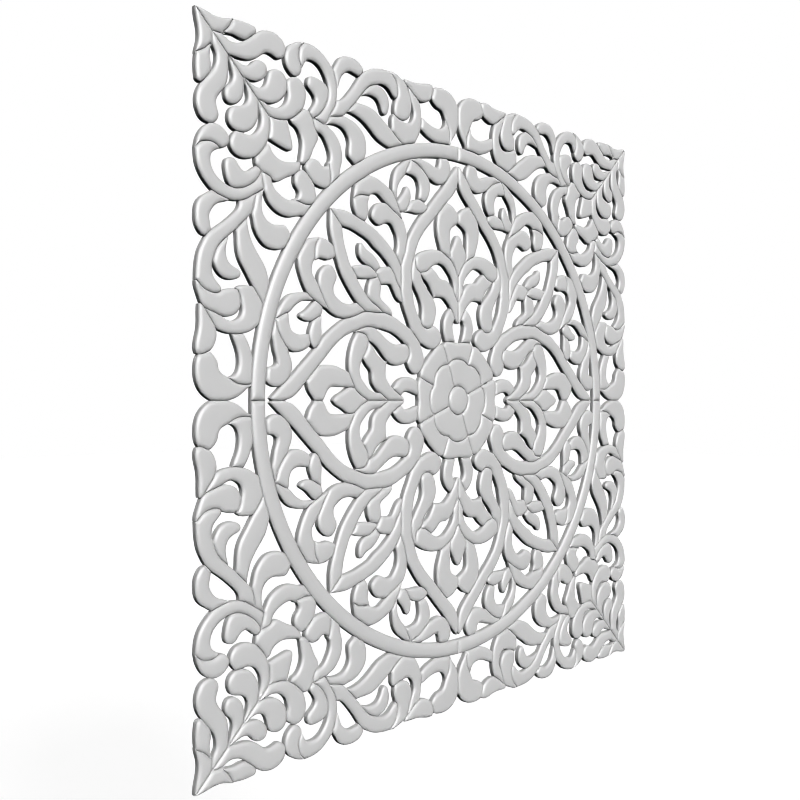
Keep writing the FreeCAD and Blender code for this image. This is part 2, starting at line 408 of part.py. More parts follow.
palm_link_shares = (
    ((0.404, 0.178), (0.409, 0.160), (0.414, 0.148), (0.420, 0.138)),
    ((0.424, 0.129), (0.417, 0.119), (0.411, 0.110), (0.403, 0.1005), (0.395, 0.0935), (0.3895, 0.086),
     (0.3875, 0.075), (0.387, 0.063), (0.384, 0.052), (0.377, 0.041), (0.367, 0.031)),
    ((0.356, 0.022), (0.345, 0.0145), (0.333, 0.0065)),
    ((0.324, -0.002),),
    ((0.2515, -0.002), (0.2505, 0.003), (0.2525, 0.007), (0.257, 0.011)),
    ((0.264, 0.0155), (0.275, 0.0205), (0.285, 0.027), (0.295, 0.034), (0.303, 0.040)),
    ((0.309, 0.0445), (0.315, 0.052), (0.322, 0.060), (0.327, 0.068), (0.329, 0.080), (0.3285, 0.090),
     (0.3285, 0.100), (0.327, 0.109)),
    ((0.320, 0.119), (0.334, 0.120), (0.343, 0.125), (0.352, 0.130), (0.360, 0.135), (0.367, 0.141),
     (0.374, 0.150), (0.381, 0.160), (0.390, 0.169)),
)
collar_link_shares = (
    ((0.302, 0.030), (0.297, 0.038), (0.291, 0.0465), (0.284, 0.0545), (0.275, 0.0615), (0.264, 0.0675),
     (0.251, 0.0715), (0.238, 0.0725), (0.225, 0.072), (0.212, 0.069), (0.200, 0.0645)),
    ((0.183, 0.058), (0.181, 0.035)),
    ((0.183, 0.0155), (0.200, 0.0185), (0.212, 0.0225), (0.225, 0.026), (0.237, 0.0275), (0.248, 0.0265),
     (0.256, 0.0215)),
    ((0.265, 0.0125), (0.285, 0.019)),
)
palm_bulb_shares = (
    ((0.640, 0.056), (0.634, 0.043), (0.630, 0.031), (0.625, 0.022), (0.618, 0.013), (0.611, 0.005)),
    ((0.606, -0.002),),
    ((0.5765, -0.002), (0.574, 0.004), (0.5695, 0.0115), (0.565, 0.020), (0.560, 0.028),
     (0.5545, 0.0345), (0.547, 0.038), (0.538, 0.0395), (0.520, 0.0395), (0.500, 0.039), (0.485, 0.0385)),
    ((0.465, 0.030),),
    ((0.452, 0.026), (0.452, 0.045), (0.458, 0.062)),
    ((0.468, 0.078), (0.480, 0.0835), (0.490, 0.087), (0.500, 0.0905), (0.512, 0.095), (0.525, 0.099),
     (0.540, 0.102), (0.555, 0.1025), (0.570, 0.102), (0.583, 0.100)),
    ((0.596, 0.098), (0.615, 0.082), (0.630, 0.067)),
)
bud_half_shares = (
    ((0.538, 0.0), (0.535, 0.0055), (0.528, 0.0125), (0.519, 0.018), (0.508, 0.0225), (0.498, 0.0285),
     (0.488, 0.0345), (0.480, 0.038), (0.470, 0.0385), (0.458, 0.0370), (0.448, 0.0305), (0.438, 0.0225),
     (0.428, 0.0165), (0.418, 0.011), (0.410, 0.0055), (0.404, 0.0)),
)

# Rosette: an eighth of the outer petal ring and of the inner flower, from the axis to the diagonal.
petal_rim_shares = (
    ((0.186, 0.0), (0.1885, 0.020), (0.190, 0.040), (0.1885, 0.056), (0.184, 0.066)),
    ((0.178, 0.0725), (0.1785, 0.080), (0.177, 0.090), (0.1725, 0.100), (0.165, 0.110), (0.156, 0.1195),
     (0.147, 0.1295), (0.139, 0.139)),
)
flower_rim_shares = (
    ((0.134, 0.0), (0.1335, 0.012), (0.131, 0.023), (0.127, 0.033), (0.121, 0.041)),
    ((0.116, 0.0465), (0.1145, 0.058), (0.112, 0.070), (0.108, 0.081), (0.102, 0.090), (0.096, 0.096)),
)

# Ends of the grooves along the seams between leaves and their mirror images, the outer end first.
spray_seam_shares = ((1.01, 1.01), (0.771, 0.771))
lens_seam_shares = ((0.56, 0.56), (0.500, 0.500))
ogee_seam_shares = ((0.228, 0.228), (0.172, 0.172))
heart_seam_shares = ((0.960, 0.0), (0.895, 0.0))
bulb_seam_shares = ((0.612, 0.0), (0.570, 0.0))
link_seam_shares = ((0.403, 0.0), (0.245, 0.0))

# Directions and the corner of the frame.
origin = FreeCAD.Vector(0, 0, 0)
along_x = FreeCAD.Vector(1, 0, 0)
along_z = FreeCAD.Vector(0, 0, 1)
toward_front = FreeCAD.Vector(0, -1, 0)
over_diagonal = FreeCAD.Vector(1, 0, -1)

# Angles in degrees, counter-clockwise as seen from the front, and the reach of a sector.
eighth_angle = 45.0
quarter_angle = 90.0
sector_reach_share = 1.5

# Leaves of an eighth in the order in which they lie: a leaf covers the leaves after it.
eighth_leaves = (
    ("edge_tooth", edge_tooth_shares),
    ("edge_heart", edge_heart_shares),
    ("crescent_cap", crescent_cap_shares),
    ("crescent", crescent_shares),
    ("s_stem", s_stem_shares),
    ("tall_leaf", tall_leaf_shares),
    ("cup_leaf", cup_leaf_shares),
    ("scroll_cup", scroll_cup_shares),
    ("hook_leaf", hook_leaf_shares),
    ("outer_curl", outer_curl_shares),
    ("inner_curl", inner_curl_shares),
    ("throat_leaf", throat_leaf_shares),
    ("crescent_heart", crescent_heart_shares),
    ("corner_s_leaf", corner_s_leaf_shares),
    ("corner_oval", corner_oval_shares),
    ("corner_tip_leaf", corner_tip_leaf_shares),
    ("first_spray_leaf", first_spray_leaf_shares),
    ("second_spray_leaf", second_spray_leaf_shares),
    ("third_spray_leaf", third_spray_leaf_shares),
    ("diamond", diamond_half_shares),
    ("bracket_leaf", bracket_leaf_shares),
    ("kidney_leaf", kidney_leaf_shares),
    ("hooked_leaf", hooked_leaf_shares),
    ("palm_s_leaf", palm_s_leaf_shares),
    ("sickle_leaf", sickle_leaf_shares),
    ("arch_leaf", arch_leaf_shares),
    ("oval_leaf", oval_leaf_shares),
    ("bead_leaf", bead_leaf_shares),
    ("round_comma", round_comma_shares),
    ("low_lobe", low_lobe_shares),
    ("ogee_arm", ogee_arm_shares),
    ("lens_arm", lens_arm_shares),
    ("cap_leaf", cap_leaf_shares),
    ("inner_comma", inner_comma_shares),
    ("palm_comma", palm_comma_shares),
    ("bud", bud_half_shares),
    ("palm_link", palm_link_shares),
    ("palm_bulb", palm_bulb_shares),
    ("collar_link", collar_link_shares),
)
# Leaves with small tight bends stay splines; all others are drawn in arcs.
spline_leaves = ("crescent_cap", "cup_leaf", "scroll_cup", "throat_leaf", "hooked_leaf",
                 "sickle_leaf", "arch_leaf", "ogee_arm", "inner_comma", "palm_comma",
                 "palm_link")
# Leaves drawn as a half, with the mirror line that completes them.
half_leaves = {"diamond": over_diagonal, "bud": along_z}

# Leaves of the lens flower, whole, in the order in which they lie in a quarter.
flower_leaves = (
    ("side_petal", side_petal_shares),
    ("lobed_petal", lobed_petal_shares),
    ("free_petal", free_petal_shares),
)
paired_flower_leaves = ("lobed_petal",)

# Inner end of the seam between two segments of the inner flower.
flower_seam_foot_share = (0.046, 0.0205)


def spot(share):
    """Point on the back plane of a share pair, in the upper right quarter."""
    return FreeCAD.Vector(share[0] * half_side, 0, share[1] * half_side)


def run_edge(run, end):
    """Smooth edge through the points of a run and on to the first point of the next run."""
    points = [spot(share) for share in run] + [spot(end)]
    if len(points) == 2:
        return Part.makeLine(points[0], points[1])
    curve = Part.BSplineCurve()
    curve.interpolate(points)
    return curve.toShape()


def arcs_along(edge):
    """The same smooth edge as a row of arcs that meet without a corner."""
    if edge.Curve.TypeId != "Part::GeomBSplineCurve":
        return [edge]
    return [arc.toShape() for arc in edge.Curve.toBiArcs(arc_tolerance)]


def outline_edges(runs):
    """Edges of a closed row of runs."""
    if len(runs) == 1:
        curve = Part.BSplineCurve()
        curve.interpolate([spot(share) for share in runs[0]], PeriodicFlag=True)
        return [curve.toShape()]
    ends = [run[0] for run in runs[1:]] + [runs[0][0]]
    return [run_edge(run, end) for run, end in zip(runs, ends)]


def outline_face(runs, in_arcs):
    """Flat face on the back plane inside a closed row of runs, drawn in arcs or as splines."""
    edges = outline_edges(runs)
    if in_arcs:
        edges = [arc for edge in edges for arc in arcs_along(edge)]
    return Part.Face(Part.Wire(edges))


def mirrored_rim(runs, normal):
    """Edges of an open row of runs and of its mirror image."""
    ends = [run[0] for run in runs[1:]]
    edges = [run_edge(run, end) for run, end in zip(runs, ends)]
    edges.append(run_edge(runs[-1][:-1], runs[-1][-1]))
    return edges + [edge.mirror(origin, normal) for edge in edges]


def face_inside(edges):
    """Flat face inside edges that close to one outline."""
    return Part.Face(Part.Wire(Part.__sortEdges__(edges)))


def turned(shape, angle):
    """Copy of a shape turned about the middle of the panel."""
    copy = shape.copy()
    copy.rotate(origin, toward_front, angle)
    return copy


def four_fold_face(runs):
    """Flat face inside the rim of an eighth, mirrored over the diagonal and turned four times."""
    rim = mirrored_rim(runs, over_diagonal)
    angles = [quarter_angle * step for step in range(4)]
    return face_inside([turned(edge, angle) for angle in angles for edge in rim])


def disc(radius):
    """Flat round face on the back plane."""
    return Part.Face(Part.Wire([Part.Circle(origin, toward_front, radius).toShape()]))


def sector(start_angle, end_angle):
    """Flat three-cornered face from the middle past the panel, between two angles."""
    reach = FreeCAD.Vector(half_side * sector_reach_share, 0, 0)
    first = FreeCAD.Rotation(toward_front, start_angle).multVec(reach)
    second = FreeCAD.Rotation(toward_front, end_angle).multVec(reach)
    return Part.Face(Part.makePolygon([origin, first, second, origin]))


def largest(pieces):
    """The largest piece; small offcuts are dropped."""
    return max(pieces, key=lambda piece: piece.Mass)


def overlapping(face, covers):
    """The flat covers that overlap a flat face."""
    near = [cover for cover in covers if face.BoundBox.intersect(cover.BoundBox)]
    return [cover for cover in near if face.common(cover).Area > pinhole_area]


def uncovered(shape, covers):
    """The shape without what lies under the covers."""
    if not covers:
        return shape
    return shape.cut(covers, fuse_tolerance)


def aligned(face):
    """The same flat face, looking toward the front."""
    if face.normalAt(0, 0).dot(toward_front) < 0:
        return face.reversed()
    return face


def joined_face(faces):
    """Flat faces that touch or overlap joined to one, with its pinholes closed."""
    faces = [aligned(face) for face in faces]
    joined = largest(faces[0].fuse(faces[1:], fuse_tolerance).removeSplitter().Faces)
    windows = [wire for wire in joined.Wires if Part.Face(wire).Area > pinhole_area]
    return Part.makeFace(windows, "Part::FaceMakerBullseye")


def block(face):
    """The face as thick as the carving, in front of the fret."""
    base = face.copy()
    base.translate(toward_front * fret_thickness)
    return base.extrude(toward_front * carving_thickness)


def crowned(face):
    """A block with its front edges cut back all round."""
    solid = block(face)
    middle_depth = solid.BoundBox.Center.y
    front = [edge for edge in solid.Edges if edge.CenterOfMass.y < middle_depth - crown]
    return solid.makeChamfer(crown, front)


def carved(solids):
    """Touching leaves as one carved piece."""
    if len(solids) == 1:
        return solids[0]
    return solids[0].fuse(solids[1:], fuse_tolerance)


def grooved(solid, seam):
    """A carved piece with a V-shaped groove along a seam, as deep as the cut-back edges."""
    start, end = [spot(share) for share in seam]
    along = end - start
    aside = along.cross(toward_front).normalize()
    top_depth = fret_thickness + carving_thickness
    bottom = start + toward_front * (top_depth - crown)
    mouth = start + toward_front * (top_depth + groove_overrun)
    reach = aside * (crown + groove_overrun)
    section = Part.Face(Part.makePolygon([bottom, mouth + reach, mouth - reach, bottom]))
    return solid.cut(section.extrude(along))


def feature(label, shape):
    """Document object that holds a finished shape."""
    item = doc.addObject("Part::Feature", label)
    item.Shape = shape
    item.Placement = FreeCAD.Placement()
    return item


def mirror_image(label, source, normal):
    """Mirror image of an object over a plane through the middle of the panel."""
    item = doc.addObject("Part::Mirroring", label)
    item.Source = source
    item.Base = origin
    item.Normal = normal
    return item


# Flat covers that lie over everything: the ring and the rosette.
ring_face = disc(size("ring_outer_radius")).cut(disc(size("ring_inner_radius"))).Faces[0]
petal_face = four_fold_face(petal_rim_shares)
flower_face = four_fold_face(flower_rim_shares)
top_covers = [ring_face, petal_face]
eighth = sector(0, eighth_angle)
quarter = sector(0, quarter_angle)

# Every leaf of the eighth twice: as a flat face for the fret and as a crowned solid.
leaf_face = {}
leaf_solid = {}
covers = list(top_covers)
eighth_block = block(eighth)
for name, runs in eighth_leaves:
    if name in half_leaves:
        whole = face_inside(mirrored_rim(runs, half_leaves[name]))
    else:
        whole = outline_face(runs, name not in spline_leaves)
    over = overlapping(whole, covers)
    blocks = [block(face) for face in over]
    leaf_face[name] = largest(uncovered(whole.common(eighth), over).Faces)
    leaf_solid[name] = largest(uncovered(crowned(whole).common(eighth_block), blocks).Solids)
    covers.append(whole)

# The lens flower isn't mirrored over the diagonal, so it is drawn and trimmed in the quarter.
flower_solids = []
flower_faces = []
covers = list(leaf_face.values())
covers = covers + [face.mirror(origin, over_diagonal) for face in covers]
for name, runs in flower_leaves:
    whole = outline_face(runs, False)
    shapes = [whole]
    if name in paired_flower_leaves:
        shapes.append(whole.mirror(origin, over_diagonal))
    for shape in shapes:
        over = overlapping(shape, covers)
        blocks = [block(face) for face in over]
        flower_faces.append(largest(uncovered(shape, over).Faces))
        flower_solids.append(largest(uncovered(crowned(shape), blocks).Solids))
        covers.append(flower_faces[-1])


def leaves(names):
    return [leaf_solid[name] for name in names]


def leaves_and_mirror(names, normal):
    solids = leaves(names)
    return solids + [solid.mirror(origin, normal) for solid in solids]


# Carved pieces of an eighth, a quarter and a side.
border_scroll = carved(leaves(("s_stem", "outer_curl", "inner_curl", "tall_leaf", "throat_leaf",
                               "cup_leaf", "scroll_cup", "crescent", "crescent_cap",
                               "crescent_heart")))
spandrel_scroll = carved(leaves(("low_lobe", "round_comma", "arch_leaf", "oval_leaf", "bead_leaf",
                                 "cap_leaf", "sickle_leaf", "inner_comma")))
corner_spray = carved(leaves_and_mirror(("corner_s_leaf", "corner_oval", "corner_tip_leaf",
                                         "first_spray_leaf", "second_spray_leaf",
                                         "third_spray_leaf", "diamond"), over_diagonal))
corner_spray = grooved(corner_spray, spray_seam_shares)
corner_fan = carved(leaves_and_mirror(("bracket_leaf", "kidney_leaf", "hooked_leaf"),
                                      over_diagonal))
lens = carved(leaves_and_mirror(("lens_arm",), over_diagonal) + flower_solids)
lens = grooved(lens, lens_seam_shares)
ogee = grooved(carved(leaves_and_mirror(("ogee_arm",), over_diagonal)), ogee_seam_shares)
border_heart = carved(leaves_and_mirror(("edge_tooth", "edge_heart", "hook_leaf"), along_z))
border_heart = grooved(border_heart, heart_seam_shares)
palmette = carved(leaves_and_mirror(("palm_s_leaf", "palm_comma", "palm_link", "palm_bulb",
                                     "collar_link", "bud"), along_z))
palmette = grooved(grooved(palmette, bulb_seam_shares), link_seam_shares)

# Rosette: eight outer petals, an inner flower of four turned segments and a button.
rim_axis, rim_diagonal = mirrored_rim(petal_rim_shares, along_z)[:2]
inner_axis, inner_diagonal = mirrored_rim(flower_rim_shares, along_z)[:2]
petal_corner = spot(petal_rim_shares[1][0])
flower_corner = spot(flower_rim_shares[1][0])
petal_seam = Part.makeLine(flower_corner, petal_corner)
axis_edges = [inner_axis, petal_seam, rim_axis]
axis_petal = face_inside(axis_edges + [edge.mirror(origin, along_z) for edge in axis_edges])
diagonal_edges = [inner_diagonal, petal_seam, rim_diagonal]
diagonal_petal = face_inside(diagonal_edges
                             + [edge.mirror(origin, over_diagonal) for edge in diagonal_edges])
turns = [quarter_angle * step for step in range(4)]
petals = [turned(crowned(petal), angle) for petal in (axis_petal, diagonal_petal)
          for angle in turns]
outer_petals = carved(petals)

seam_foot = spot(flower_seam_foot_share)
seam_foot = seam_foot * (size("button_radius") / seam_foot.Length)
segment_seam = Part.makeLine(seam_foot, flower_corner)
foot_vertex = Part.Vertex(seam_foot)
foot_arc = Part.Arc(seam_foot, turned(foot_vertex, eighth_angle).Point,
                    turned(foot_vertex, quarter_angle).Point).toShape()
upper_axis = inner_axis.mirror(origin, over_diagonal)
segment = face_inside([segment_seam, inner_diagonal, inner_diagonal.mirror(origin, over_diagonal),
                       upper_axis, upper_axis.mirror(origin, along_x),
                       turned(segment_seam, quarter_angle), foot_arc])
inner_flower = carved([turned(crowned(segment), angle) for angle in turns])

# Back fret of a quarter: one flat outline behind all leaves, the ring and the rosette.
quarter_faces = list(leaf_face.values())
quarter_faces = quarter_faces + [face.mirror(origin, over_diagonal) for face in quarter_faces]
quarter_faces = quarter_faces + flower_faces
quarter_faces = quarter_faces + [face.common(quarter).Faces[0] for face in top_covers]
fret_outline = feature("back_fret_outline", joined_face(quarter_faces))

# Places of the joint pins along a seam, and the two directions of the seams.
pin_place_shares = (0.1, 0.8025, 0.945)
pin_sides = ("right", "top", "left", "bottom")


def seam_cylinder(label, side, place_share, radius, length):
    """Round bar across a seam between two frets, with sizes from the sheet."""
    bar = doc.addObject("Part::Cylinder", label)
    bar.setExpression("Radius", radius)
    bar.setExpression("Height", length)
    doc.recompute()
    angle = quarter_angle * pin_sides.index(side)
    foot = FreeCAD.Vector(half_side * place_share, -fret_thickness / 2, -bar.Height.Value / 2)
    turn = FreeCAD.Rotation(toward_front, angle)
    bar.Placement = FreeCAD.Placement(turn.multVec(foot), turn)
    return bar


pins = []
bores = []
for side in pin_sides:
    for number, place_share in enumerate(pin_place_shares, start=1):
        pins.append(seam_cylinder("pin_%s_%d" % (side, number), side, place_share,
                                  "Sizes.pin_diameter / 2", "Sizes.pin_length"))
        if side in ("right", "top"):
            bores.append(seam_cylinder("bore_%s_%d" % (side, number), side, place_share,
                                       "Sizes.pin_diameter / 2 + Sizes.pin_clearance",
                                       "Sizes.pin_length + 2 * Sizes.pin_clearance"))
joint_pins = doc.addObject("Part::Compound", "joint_pins")
joint_pins.Links = pins
fret_bores = doc.addObject("Part::Compound", "fret_bores")
fret_bores.Links = bores

fret_blank = doc.addObject("Part::Extrusion", "fret_blank")
fret_blank.Base = fret_outline
fret_blank.DirMode = "Custom"
fret_blank.Dir = toward_front
fret_blank.setExpression("LengthFwd", "Sizes.fret_thickness")
fret_blank.Solid = True
first_fret = doc.addObject("Part::Cut", "back_fret_upper_right")
first_fret.Base = fret_blank
first_fret.Tool = fret_bores
doc.recompute()


def plane_of(body, role):
    return [item for item in body.Origin.OriginFeatures if item.Role == role][0]


def depth_profile(body, corners, dome=None):
    """Closed profile on the level plane of a body.

    A corner is a pair of expressions: distance from the middle and depth in front of the back.
    The run after the dome corner is an arc about the middle axis; the others are lines.
    """
    sketch = body.newObject("Sketcher::SketchObject", body.Name + "_profile")
    sketch.AttachmentSupport = [(plane_of(body, "XY_Plane"), "")]
    sketch.MapMode = "FlatFace"
    spots = [FreeCAD.Vector(float(sketch.evalExpression(distance)),
                            -float(sketch.evalExpression(depth)), 0)
             for distance, depth in corners]
    count = len(corners)
    for index, start in enumerate(spots):
        end = spots[(index + 1) % count]
        if index == dome:
            fall = abs(end.y - start.y)
            radius = (start.x ** 2 + fall ** 2) / (2 * fall)
            circle = Part.Circle(end + FreeCAD.Vector(0, radius, 0), along_z, radius)
            lowest = -math.pi / 2
            sketch.addGeometry(Part.ArcOfCircle(circle, lowest,
                                                lowest + math.asin(start.x / radius)))
            sketch.addConstraint(Sketcher.Constraint("PointOnObject", index, 3, -2))
        else:
            sketch.addGeometry(Part.LineSegment(start, end))
    for index, (distance, depth) in enumerate(corners):
        start_end = 2 if index == dome else 1
        before = (index - 1) % count
        before_end = 1 if before == dome else 2
        sketch.addConstraint(Sketcher.Constraint("Coincident", before, before_end,
                                                 index, start_end))
        if distance == on_axis:
            sketch.addConstraint(Sketcher.Constraint("PointOnObject", index, start_end, -2))
        else:
            number = sketch.addConstraint(Sketcher.Constraint(
                "DistanceX", -1, 1, index, start_end, spots[index].x))
            sketch.setExpression("Constraints[%d]" % number, distance)
        number = sketch.addConstraint(Sketcher.Constraint(
            "DistanceY", index, start_end, -1, 1, -spots[index].y))
        sketch.setExpression("Constraints[%d]" % number, depth)
    return sketch


def turned_body(label, corners, angle, dome=None):
    """Body made by turning a depth profile about the axis from back to front."""
    body = doc.addObject("PartDesign::Body", label)
    sketch = depth_profile(body, corners, dome)
    solid = body.newObject("PartDesign::Revolution", label + "_turned")
    solid.Profile = sketch
    solid.ReferenceAxis = (sketch, ["V_Axis"])
    solid.Angle = angle
    solid.Reversed = True
    sketch.Visibility = False
    doc.recompute()
    return body


# Ring arcs and rosette button, turned from profiles with a crowned front.
on_axis = "0"
back_depth = "Sizes.fret_thickness"
shoulder_depth = "Sizes.fret_thickness + Sizes.carving_thickness - Sizes.crown"
front_depth = "Sizes.fret_thickness + Sizes.carving_thickness"
ring_corners = (
    ("Sizes.ring_inner_radius", back_depth),
    ("Sizes.ring_outer_radius", back_depth),
    ("Sizes.ring_outer_radius", shoulder_depth),
    ("Sizes.ring_outer_radius - Sizes.crown", front_depth),
    ("Sizes.ring_inner_radius + Sizes.crown", front_depth),
    ("Sizes.ring_inner_radius", shoulder_depth),
)
button_corners = (
    (on_axis, back_depth),
    ("Sizes.button_radius", back_depth),
    ("Sizes.button_radius", shoulder_depth),
    ("Sizes.button_radius - Sizes.crown", front_depth),
    (on_axis, front_depth + " + Sizes.button_rise"),
)
button_dome = 3
full_turn = 360.0
nodes = []
for turn, place in enumerate(("upper_right", "upper_left", "lower_left", "lower_right")):
    arc = turned_body("ring_arc_" + place, ring_corners, quarter_angle)
    arc.Placement = FreeCAD.Placement(origin, FreeCAD.Rotation(toward_front, quarter_angle * turn))
    nodes.append(arc)
nodes.append(turned_body("rosette_button", button_corners, full_turn, button_dome))
nodes.append(feature("rosette_outer_petals", outer_petals))
nodes.append(feature("rosette_inner_flower", inner_flower))
nodes.append(joint_pins)

# Mirror images: new place, place it is taken from, and the normal of the mirror plane.
eighth_places = (
    ("right_lower", "right_upper", along_z),
    ("left_upper", "right_upper", along_x),
    ("left_lower", "left_upper", along_z),
    ("top_right", "right_upper", over_diagonal),
    ("top_left", "top_right", along_x),
    ("bottom_right", "top_right", along_z),
    ("bottom_left", "top_left", along_z),
)
quarter_places = (
    ("upper_left", "upper_right", along_x),
    ("lower_right", "upper_right", along_z),
    ("lower_left", "upper_left", along_z),
)
side_places = (
    ("left", "right", along_x),
    ("top", "right", over_diagonal),
    ("bottom", "top", along_z),
)
carved_pieces = (
    ("border_scroll", "right_upper", border_scroll, eighth_places),
    ("spandrel_scroll", "right_upper", spandrel_scroll, eighth_places),
    ("corner_spray", "upper_right", corner_spray, quarter_places),
    ("corner_fan", "upper_right", corner_fan, quarter_places),
    ("lens_flower", "upper_right", lens, quarter_places),
    ("ogee_arch", "upper_right", ogee, quarter_places),
    ("border_heart", "right", border_heart, side_places),
    ("palmette", "right", palmette, side_places),
)


def mirror_set(kind, first_place, first, places):
    """The first piece of a kind and its mirror images in all its places."""
    made = {first_place: first}
    for place, source, normal in places:
        made[place] = mirror_image(kind + "_" + place, made[source], normal)
    return list(made.values())


for kind, first_place, shape, places in carved_pieces:
    first = feature(kind + "_" + first_place, shape)
    nodes = nodes + mirror_set(kind, first_place, first, places)
nodes = nodes + mirror_set("back_fret", "upper_right", first_fret, quarter_places)
doc.recompute()

# Check every object, then write one file for each node.
for item in doc.Objects:
    if "Invalid" in item.State or "Error" in item.State:
        raise RuntimeError("not rebuilt: " + item.Label)
for item in nodes:
    if item.Shape.isNull() or not item.Shape.isValid():
        raise RuntimeError("bad shape: " + item.Label)
os.makedirs("parts", exist_ok=True)
for item in nodes:
    item.Shape.exportStep("parts/%s.step" % item.Label)
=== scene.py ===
"""Carved panel: a square pierced screen of painted board, dressed for rendering.

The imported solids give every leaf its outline. Each leaf then gets a crowned front: the surface
rises from its edge as a quarter of an ellipse over the distance to the outline, so the narrow
parts come to a soft ridge and the wide parts stay flat. The ring and the button are turned by
formula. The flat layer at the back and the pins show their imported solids. Lengths in classes are
in millimetres, meshes are in metres.
"""

import logging
import math
from dataclasses import dataclass, field
from enum import Enum

import bmesh
import bpy
import numpy as np
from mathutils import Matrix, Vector
from mathutils.geometry import delaunay_2d_cdt


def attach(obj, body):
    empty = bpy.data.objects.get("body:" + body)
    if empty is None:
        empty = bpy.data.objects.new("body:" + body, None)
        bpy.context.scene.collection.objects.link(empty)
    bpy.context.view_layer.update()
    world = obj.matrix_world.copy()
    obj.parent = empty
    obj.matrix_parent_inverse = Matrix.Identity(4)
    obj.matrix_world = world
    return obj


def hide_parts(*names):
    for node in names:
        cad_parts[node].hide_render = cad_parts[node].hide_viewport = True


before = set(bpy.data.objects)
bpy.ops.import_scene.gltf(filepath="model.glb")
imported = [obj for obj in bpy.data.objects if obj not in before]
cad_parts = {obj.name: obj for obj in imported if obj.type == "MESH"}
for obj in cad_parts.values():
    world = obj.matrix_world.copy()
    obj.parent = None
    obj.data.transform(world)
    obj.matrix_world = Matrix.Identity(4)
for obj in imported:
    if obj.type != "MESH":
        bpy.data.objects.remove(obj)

LOG = logging.getLogger("carved_panel")
MM = 0.001  # metres in a millimetre
CHUNK = 2000  # points that are compared with the lines at a time
TINY = 1e-12  # stands for a length of zero in a division
MIX_SHARE, MIX_FIRST, MIX_SECOND = 0, 6, 7  # input sockets of a Mix node that mixes colours
SHADE_SHARE, SHADE_FIRST, SHADE_SECOND = 0, 1, 2  # input sockets of a Mix Shader node


class Mirror(Enum):
    """Mirror images of the upper right quarter, as 3 x 3 matrices on (x, y, z)."""

    NONE = ((1, 0, 0), (0, 1, 0), (0, 0, 1))
    LEFT = ((-1, 0, 0), (0, 1, 0), (0, 0, 1))
    DOWN = ((1, 0, 0), (0, 1, 0), (0, 0, -1))
    LEFT_DOWN = ((-1, 0, 0), (0, 1, 0), (0, 0, -1))
    SWAP = ((0, 0, 1), (0, 1, 0), (1, 0, 0))
    SWAP_LEFT = ((0, 0, -1), (0, 1, 0), (1, 0, 0))
    SWAP_DOWN = ((0, 0, 1), (0, 1, 0), (-1, 0, 0))
    SWAP_LEFT_DOWN = ((0, 0, -1), (0, 1, 0), (-1, 0, 0))

    def matrix(self) -> np.ndarray:
        """The mirror image as a numpy matrix.

        Returns:
            Three rows of three numbers.
        """
        return np.array(self.value, float)


EIGHTHS: dict[str, Mirror] = {
    "right_upper": Mirror.NONE,
    "right_lower": Mirror.DOWN,
    "left_upper": Mirror.LEFT,
    "left_lower": Mirror.LEFT_DOWN,
    "top_right": Mirror.SWAP,
    "top_left": Mirror.SWAP_LEFT,
    "bottom_right": Mirror.SWAP_DOWN,
    "bottom_left": Mirror.SWAP_LEFT_DOWN,
}
QUARTERS: dict[str, Mirror] = {
    "upper_right": Mirror.NONE,
    "upper_left": Mirror.LEFT,
    "lower_right": Mirror.DOWN,
    "lower_left": Mirror.LEFT_DOWN,
}
SIDES: dict[str, Mirror] = {
    "right": Mirror.NONE,
    "left": Mirror.LEFT,
    "top": Mirror.SWAP,
    "bottom": Mirror.SWAP_DOWN,
}


@dataclass
class Shell:
    """A mesh in the making.

    Attributes:
        points: Vertices in millimetres, one row of x, y, z each.
        faces: Vertex numbers of each triangle, outward by the right-hand rule.
    """

    points: np.ndarray
    faces: np.ndarray

    def mirrored(self, mirror: Mirror) -> "Shell":
        """Mirror image of the shell, with its faces kept outward.

        Args:
            mirror: The mirror image wanted.

        Returns:
            A new shell.
        """
        matrix = mirror.matrix()
        faces = self.faces if np.linalg.det(matrix) > 0 else self.faces[:, ::-1]
        return Shell(self.points @ matrix.T, faces)


def mesh_object(name: str, shell: Shell, material: bpy.types.Material,
                crease: float = 40.0) -> bpy.types.Object:
    """Puts a shell into the scene as a smooth object with sharp creases.

    Args:
        name: Object name.
        shell: Vertices and faces.
        material: Finish of the whole piece.
        crease: Angle in degrees above which an edge stays sharp.

    Returns:
        The new object, with its place in its mesh.
    """
    mesh = bpy.data.meshes.new(name)
    count = len(shell.faces)
    mesh.vertices.add(len(shell.points))
    mesh.vertices.foreach_set("co", (shell.points * MM).astype(np.float32).ravel())
    mesh.loops.add(3 * count)
    mesh.loops.foreach_set("vertex_index", shell.faces.astype(np.int32).ravel())
    mesh.polygons.add(count)
    mesh.polygons.foreach_set("loop_start", np.arange(0, 3 * count, 3, dtype=np.int32))
    mesh.update(calc_edges=True)
    mesh.validate()
    mesh.shade_smooth()
    mesh.set_sharp_from_angle(angle=math.radians(crease))
    mesh.materials.append(material)
    piece = bpy.data.objects.new(name, mesh)
    bpy.context.scene.collection.objects.link(piece)
    return piece


def stand_for(piece: bpy.types.Object, node: str) -> None:
    """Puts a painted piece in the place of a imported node.

    Args:
        piece: The piece.
        node: Name of the node that it replaces.
    """
    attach(piece, "root")
    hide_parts(node)


